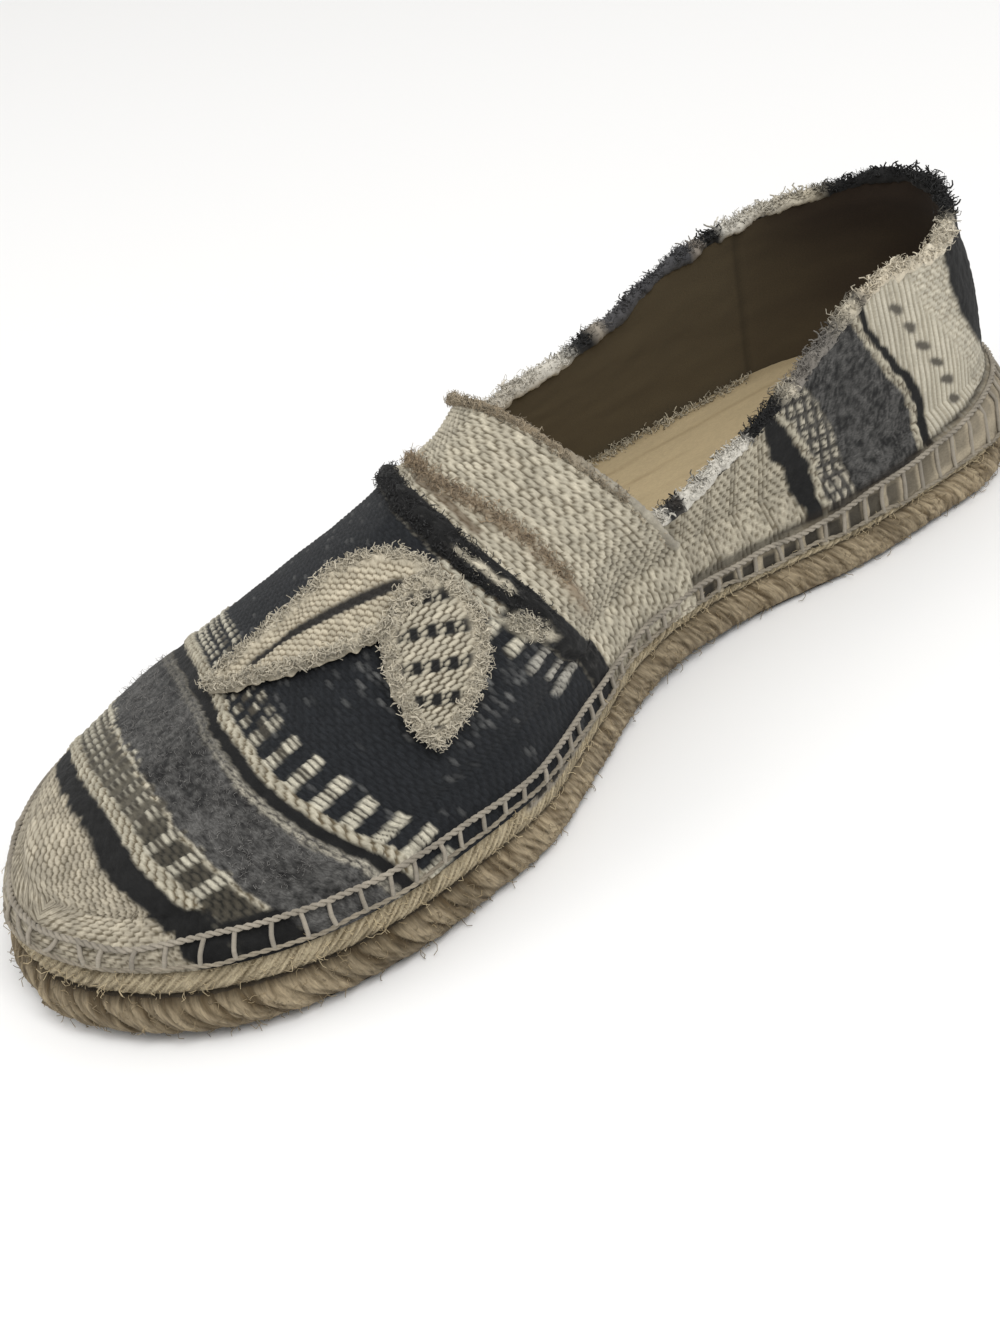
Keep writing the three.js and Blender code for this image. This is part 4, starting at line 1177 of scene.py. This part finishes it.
# Frayed edges
COLLAR_TINT = {
    1: [
        *[(0.0, BLACK), (0.045, BLACK), (0.06, (196, 188, 170)), (0.2, (190, 180, 160))],
        *[(0.21, (58, 54, 50)), (0.22, (176, 168, 150)), (0.25, (110, 106, 100))],
        *[(0.295, (120, 115, 108)), (0.3, (196, 188, 170)), (0.315, BLACK), (0.345, BLACK)],
        *[(0.352, FRAY_WHITE), (0.43, FRAY_WHITE), (0.435, (60, 56, 52)), (0.45, BLACK)],
        *[(0.455, FRAY_WHITE), (0.55, (150, 135, 112))],
    ],
    -1: [
        *[(0.0, BLACK), (0.03, BLACK), (0.042, (176, 168, 150)), (0.13, FRAY_WHITE)],
        *[(0.14, BLACK), (0.155, BLACK), (0.165, (140, 132, 122)), (0.175, (66, 66, 68))],
        *[(0.275, (74, 73, 74)), (0.285, (150, 142, 130)), (0.297, BLACK), (0.31, (40, 40, 40))],
        *[(0.325, FRAY_WHITE), (0.44, (190, 182, 166)), (0.55, (150, 135, 112))],
    ],
}


def collar_tint(at, side):
    result = {}
    for one, stops in COLLAR_TINT.items():
        x = [place for place, _ in stops]
        tints = lin([tint for _, tint in stops])
        result[one] = stacked(*[np.interp(at, x, tints[:, k]) for k in range(3)])
    return pick(side[:, None], result[1], result[-1])


def edge_roll(name, path, radius, shade, salt):
    """Soft uneven roll along an edge."""
    tangent = unit(np.gradient(path, axis=0))
    aside = unit(np.cross(tangent, [0.0, 0.0, 1.0]))
    above = np.cross(aside, tangent)
    turn = np.linspace(0, 2 * np.pi, 15)[:-1]
    ring = aside[:, None] * np.cos(turn)[:, None] + above[:, None] * np.sin(turn)[:, None]
    length = (np.arange(len(path)) * np.linalg.norm(path[1] - path[0]))[:, None]
    lump = 1 + 0.4 * rough_noise(length / 1.8, turn * 1.2, salt)
    points = path[:, None] + ring * (radius[:, None] * lump)[..., None]
    tone = 1 + 0.25 * rough_noise(length / 1.1, turn * 2, salt + 3)
    colours = shade[:, None] * tone[..., None]
    return grid_object(name, points, colours, stacked(length, turn * 1.3, 0.0), fuzz_look, wrap=True)


rim_at, rim_side, rim_goal = quarter_track(900)
keep = rim_at < pick(rim_side, VAMP_BACK[1] + 0.035, VAMP_BACK[-1] + 0.06)
rim_at, rim_side, rim_goal = rim_at[keep], rim_side[keep], rim_goal[keep]
rim = quarter_point(rim_at, rim_side, 1.0, CLOTH_WALL / 2)
rim[:, 2] += 0.3 + 0.5 * noise(rim_goal / 5, 0, 180)
rim_tint = collar_tint(rim_at, rim_side)
rim_radius = 1.5 + 0.35 * noise(rim_goal / 7, 0, 181)
rim_run = unit(np.gradient(rim, axis=0))
rim_out = unit(np.cross(rim_run, [0, 0, 1.0]))
rim_out = rim_out * np.sign((rim_out[:, 1] * rim_side).sum())


def fringe(name, count, low, high, thick, lean, curl, seed, steps, outward):
    """Loose thread ends that stand on the collar."""
    local = np.random.default_rng(seed)
    k = local.integers(0, len(rim), count)
    ball = unit(local.normal(size=(count, 3)))
    ball[:, 2] = np.abs(ball[:, 2]) * 0.9 + 0.1
    roots = rim[k] + ball * rim_radius[k][:, None] * 0.85
    aim = np.array([0, 0, 0.55]) + ball * 0.8 + rim_out[k] * outward
    aim = unit(aim + rim_run[k] * lean * local.normal(size=(count, 1)))
    full = 0.55 + 0.45 * noise(rim_goal[k] / 5, 0, 190 + seed)
    lengths = (low + (high - low) * local.random(count) ** 1.6) * (0.5 + full)
    paths = hairs(roots, aim, lengths, curl, steps, seed)
    return fibres(name, paths, thick, 0.6, rim_tint[k][:, None], 0.7, 0.55, local)


def make_throat_roll():
    """Throat edge: a worn brown roll."""
    across = np.linspace(0.005, 0.995, 500)
    path = vamp_point(0, across, -0.9 + 0.8 * smooth((across - 0.5) / 0.3))
    tint = lerp(lin((132, 119, 99)), lin((150, 144, 130)), smooth((0.3 - across) / 0.12))
    tint *= (1 + 0.15 * noise(across * 60, 0, 200))[:, None]
    return edge_roll("throat_roll", path, 1.0 + 0.2 * noise(across * 30, 0, 201), tint, 202)


# Where short fibres stand on the vamp, as a share of full density
def band_here(row, across):
    q = straight_row(row, across)
    return between(q, STRIPE_END["beige"] + 0.004, STRIPE_END["black band"] - 0.004, 0.008)


def felt_here(row, across):
    q = straight_row(row, across)
    return between(q, STRIPE_END["black line"] + 0.01, STRIPE_END["felt"] - 0.006, 0.008)


def tuft_here(row, across):
    return smooth(1.6 * tuft_share(straight_row(row, across), across) - 0.3)


def pleat_here(row, across):
    return bell((straight_row(row, across) - pleat_row(across)) / 0.013)


# Name, count, rows, places across, lengths, thickness, tint, seed, lift and mask of each patch of fuzz
FUZZ = [
    ("black_band_fuzz", 4200, (0.235, 0.325), (0, 0.97), (0.5, 1.6), 0.12, (34, 34, 34), 21, 0.9, band_here),
    ("pleat_fuzz", 3600, (0.16, 0.24), (0.06, 0.66), (0.5, 1.5), 0.1, (140, 124, 102), 22, 0.7, pleat_here),
    ("felt_fuzz", 1500, (0.73, 0.87), (0.0, 0.95), (0.4, 1.3), 0.05, (112, 110, 107), 23, 0.2, felt_here),
    ("tuft_fuzz", 5200, (0.27, 0.35), (0.05, 0.35), (0.5, 1.5), 0.11, (182, 175, 158), 25, 0.9, tuft_here),
    ("throat_fuzz", 1300, (0.0, 0.012), (0.02, 0.98), (0.5, 1.6), 0.09, (150, 138, 118), 24, 0.5, None),
]


def surface_fuzz(name, count, rows, places, lengths, thick, tint, seed, lift, mask):
    local = np.random.default_rng(seed)
    row = local.uniform(*rows, count)
    across = local.uniform(*places, count)
    if mask is not None:
        kept = local.random(count) < mask(row, across)
        row = row[kept]
        across = across[kept]
    roots, normals = vamp_spot(row, across, lift)
    aim = unit(normals + 0.9 * local.normal(size=roots.shape))
    paths = hairs(roots, aim, local.uniform(*lengths, len(roots)), 1.0, 4, seed)
    return fibres(name, paths, thick, 0.5, lin(tint), 0.6, 0.8, local)


# Cloth leaves on the vamp
GIRTH = BALL_WIDTH * 1.25
LEAF_BORDER = 0.9
WOOL = (176, 168, 150)


def leaf_place(stalk, tip, ahead, sideways):
    """Run and across of a spot given in millimetres along and beside the leaf's vein."""
    heading = unit(np.array([(tip[1] - stalk[1]) * GIRTH, (tip[0] - stalk[0]) * RIDGE_LENGTH]))
    across = stalk[1] + (heading[0] * ahead - heading[1] * sideways) / GIRTH
    run = stalk[0] + (heading[1] * ahead + heading[0] * sideways) / RIDGE_LENGTH
    return run, across


def leaf_surface(run, across, lift):
    e = 1e-3
    p = vamp_point(run, across, 0)
    n = unit(np.cross(vamp_point(run + e, across, 0) - p, vamp_point(run, across + e, 0) - p))
    n = np.where(n[..., 2:3] < 0, -n, n)
    return p + n * np.asarray(lift)[..., None], n


def leaf_half(share, width):
    return width / 2 * np.sin(np.pi * np.clip(share, 0, 1) ** 0.8) ** 0.7


def make_leaf(name, stalk, tip, length, width, lift, pattern, seed):
    share = np.linspace(0.004, 0.996, 170)[:, None]
    over = np.linspace(-1, 1, 90)
    rag = 0.6 * noise(share * length / 1.4, over > 0, 210 + seed)
    half = leaf_half(share, width) + rag * np.abs(over) ** 3
    share, over, ahead, sideways = np.broadcast_arrays(share, over, share * length, half * over)
    rim_distance = np.minimum((1 - np.abs(over)) * half, np.minimum(share, 1 - share) * length * 0.7)
    colours, relief = pattern(ahead, sideways, share)
    puff = LEAF_BORDER * bell((rim_distance - 1.2) / 1.3)
    clump = rough_noise(ahead / 1.2, sideways / 1.2, 213 + seed)
    top = np.where(rim_distance < 0.35, lift - 0.9, lift + relief + puff * (0.8 + 0.5 * clump))
    points, _ = leaf_surface(*leaf_place(stalk, tip, ahead, sideways), top)
    colours = lerp(colours, varied(WOOL, 0.35 * clump), smooth(puff / LEAF_BORDER * 1.2))
    leaf = grid_object(name, points, colours, stacked(sideways, ahead, 0), cloth_look)

    local = np.random.default_rng(seed)
    count = 1900
    spots = local.random(count)
    flank = local.choice([-1, 1], count)
    inset = local.random(count) * 2.0
    half_at = leaf_half(spots, width)
    near_edge = leaf_place(stalk, tip, spots * length, flank * np.maximum(half_at - inset, 0))
    roots, normals = leaf_surface(*near_edge, lift + 0.9)
    outer, _ = leaf_surface(*leaf_place(stalk, tip, spots * length, flank * (half_at + 1.5)), lift)
    aim = unit(0.6 * unit(outer - roots) + 0.5 * normals + 0.9 * local.normal(size=(count, 3)))
    paths = hairs(roots, aim, local.uniform(0.5, 1.6, count), 1.1, 4, seed)
    return leaf, fibres(name + "_fray", paths, 0.13, 0.6, lin((188, 180, 162)), 0.7, 0.5, local)


def plain_leaf(ahead, sideways, share):
    bed = {"long": 2.0, "pitch": 1.1, "slant": 0.4, "salt": 220}
    colour, height = yarn(sideways, ahead, (182, 173, 153), (112, 102, 84), **bed)
    vein = bell(sideways / 1.3) * between(share, 0.12, 0.8, 0.1)
    return lerp(colour, lin((44, 42, 40)), smooth(vein * 1.4)), 0.4 * height - 0.5 * vein


def striped_leaf(ahead, sideways, share):
    bed = {"long": 2.2, "pitch": 1.1, "slant": 0.3, "salt": 221}
    light, height = yarn(sideways, ahead, (180, 173, 155), (88, 80, 66), **bed)
    cell = repeat(sideways, 3.2, 0.2, 0.7, 0.15)
    dark = lerp(lin((32, 32, 32)), lin((172, 165, 147)), cell * height)
    return lerp(light, dark, repeat(ahead, 7.0, 0.5, 0.9, 0.1)), 0.45 * height


def make_jute_fibres(points, at):
    """Loose fibres on the braid."""
    count = 2700
    k = rng.integers(0, JUTE_COLUMNS, count)
    level = rng.integers(1, JUTE_LEVELS - 1, count)
    roots = points[level, k]
    at = at[k]
    outward = roots - stacked(roots[:, 0], along(OUTLINE, "middle", at), roots[:, 2])
    outward[:, 0] += (at - 0.5) * 60 * (end_round(at) < 0.9)
    outward = unit(outward)
    aim = 0.12 * outward + rng.normal(size=(count, 3)) * [0.9, 0.9, 0.7]
    aim -= outward * np.minimum((aim * outward).sum(1, keepdims=True) * 0.6, 1)
    paths = hairs(roots + outward * 0.1, unit(aim), rng.uniform(0.6, 2.2, count), 0.9, 4, 41)
    paths[..., 2] = np.maximum(paths[..., 2], 0.4)
    # Fibres on the lower braid row are darker, painted shade like the row itself
    tones = np.where(level[:, None, None] > JUTE_LEVELS // 2 - 1, lin((182, 166, 134)), lin((134, 119, 92)))
    return threads("jute_fibres", paths, 0.07, tones * (0.7 + 0.5 * rng.random((count, 1, 1))))


# Every piece stands for its CAD node
upper = [make_vamp(), make_quarter(), make_quarter_lining(), make_vamp_lining()]
jute_at, jute_side, jute_goal, girth = girth_track(JUTE_COLUMNS)
jute, jute_points = make_jute(jute_at, jute_side, jute_goal, girth)
insole = outline_plate(
    "insole_sheet",
    160,
    60,
    lambda at: -(hem_inset(at) + CLOTH_WALL + 0.2),
    lambda at: ground(at) + SOLE_TOP + 2.3,
    insole_shade,
    sock_look,
)
inner_stitches = make_inner_stitches()
rubber_edge = make_rubber_edge()
tread = outline_plate("rubber_tread", 240, 40, lambda at: -1.2, ground, tread_shade, rubber_look, flip=True)
upper += [*make_hem_seams(), make_legs(), edge_roll("collar_roll", rim, rim_radius, rim_tint, 182)]
upper += [
    fringe("collar_fray_yarn", 1200, 0.6, 2.0, 0.26, 0.5, 0.8, 3, steps=5, outward=0.35),
    fringe("collar_fray_fuzz", 7000, 0.4, 1.6, 0.1, 0.8, 1.1, 4, steps=4, outward=0.25),
    make_throat_roll(),
]
upper += [surface_fuzz(*row) for row in FUZZ]
leaves = [
    *make_leaf("large_leaf", (0.3, 0.33), (0.62, 0.6), 50.0, 21.0, 1.6, plain_leaf, 31),
    *make_leaf("small_leaf", (0.315, 0.34), (0.545, 0.11), 36.0, 18.0, 2.2, striped_leaf, 32),
]
PIECES = [
    ("upper", "woven_cloth", upper),
    ("jute_sole", "jute", [jute, make_jute_fibres(jute_points, jute_at)]),
    ("insole", "insole_cloth", [insole, inner_stitches]),
    ("outsole", "rubber", [rubber_edge, tread]),
    ("applique", "applique_cloth", leaves),
]
for node, slot, things in PIECES:
    for thing in things:
        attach(thing, "root")
        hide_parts(node)

# Studio
scene = bpy.context.scene
floor_mesh = bpy.data.meshes.new("floor")
floor_mesh.from_pydata([(-4, -4, 0), (4, -4, 0), (4, 4, 0), (-4, 4, 0)], [], [(0, 1, 2, 3)])
floor = bpy.data.objects.new("floor", floor_mesh)
scene.collection.objects.link(floor)
floor_look = bpy.data.materials.new("pale floor")
floor_look.use_nodes = True
floor_values = {"Base Color": (0.86, 0.86, 0.86, 1), "Roughness": 0.9}
set_inputs(floor_look.node_tree.nodes["Principled BSDF"], floor_values)
floor_mesh.materials.append(floor_look)

world = bpy.data.worlds.new("studio")
world.use_nodes = True
set_inputs(world.node_tree.nodes["Background"], {"Color": (1.0, 0.99, 0.97, 1), "Strength": 0.75})
scene.world = world


def area_light(name, place, target, size, power):
    data = bpy.data.lights.new(name, "AREA")
    data.shape = "RECTANGLE"
    data.size, data.size_y = size
    data.energy = power
    lamp = bpy.data.objects.new(name, data)
    lamp.location = place
    lamp.rotation_euler = (Vector(target) - Vector(place)).to_track_quat("-Z", "Y").to_euler()
    scene.collection.objects.link(lamp)


area_light("key", (0.35, 0.9, 1.3), (0, 0, 0.03), (0.9, 0.9), 16)
area_light("fill", (1.0, -0.7, 0.9), (0, 0, 0.03), (0.8, 0.8), 4)

# Camera where the photo was taken from
YAW = 0.905
TILT = 0.5143
ROLL = -0.203
DISTANCE = 451.442
TARGET = np.array([154.9471, 17.4341, 20.0])
FOCAL_PIXELS = 2421.07
PHOTO_HEIGHT = 1329
SENSOR = 36.0
ahead = np.array([-math.cos(YAW) * math.cos(TILT), -math.sin(YAW) * math.cos(TILT), -math.sin(TILT)])
right = unit(np.cross(ahead, [0, 0, 1.0]))
above = np.cross(right, ahead)
turned_right = math.cos(ROLL) * right + math.sin(ROLL) * above
turned_above = -math.sin(ROLL) * right + math.cos(ROLL) * above
camera_data = bpy.data.cameras.new("camera")
camera_data.sensor_fit = "VERTICAL"
camera_data.sensor_height = SENSOR
camera_data.lens = FOCAL_PIXELS / PHOTO_HEIGHT * SENSOR
camera_data.clip_start = 0.01
camera_data.clip_end = 50
camera = bpy.data.objects.new("camera", camera_data)
scene.collection.objects.link(camera)
turn = Matrix([list(turned_right), list(turned_above), list(-ahead)]).transposed()
camera.matrix_world = Matrix.Translation(Vector(to_metres(TARGET - DISTANCE * ahead))) @ turn.to_4x4()
scene.camera = camera
scene.view_settings.view_transform = "Standard"
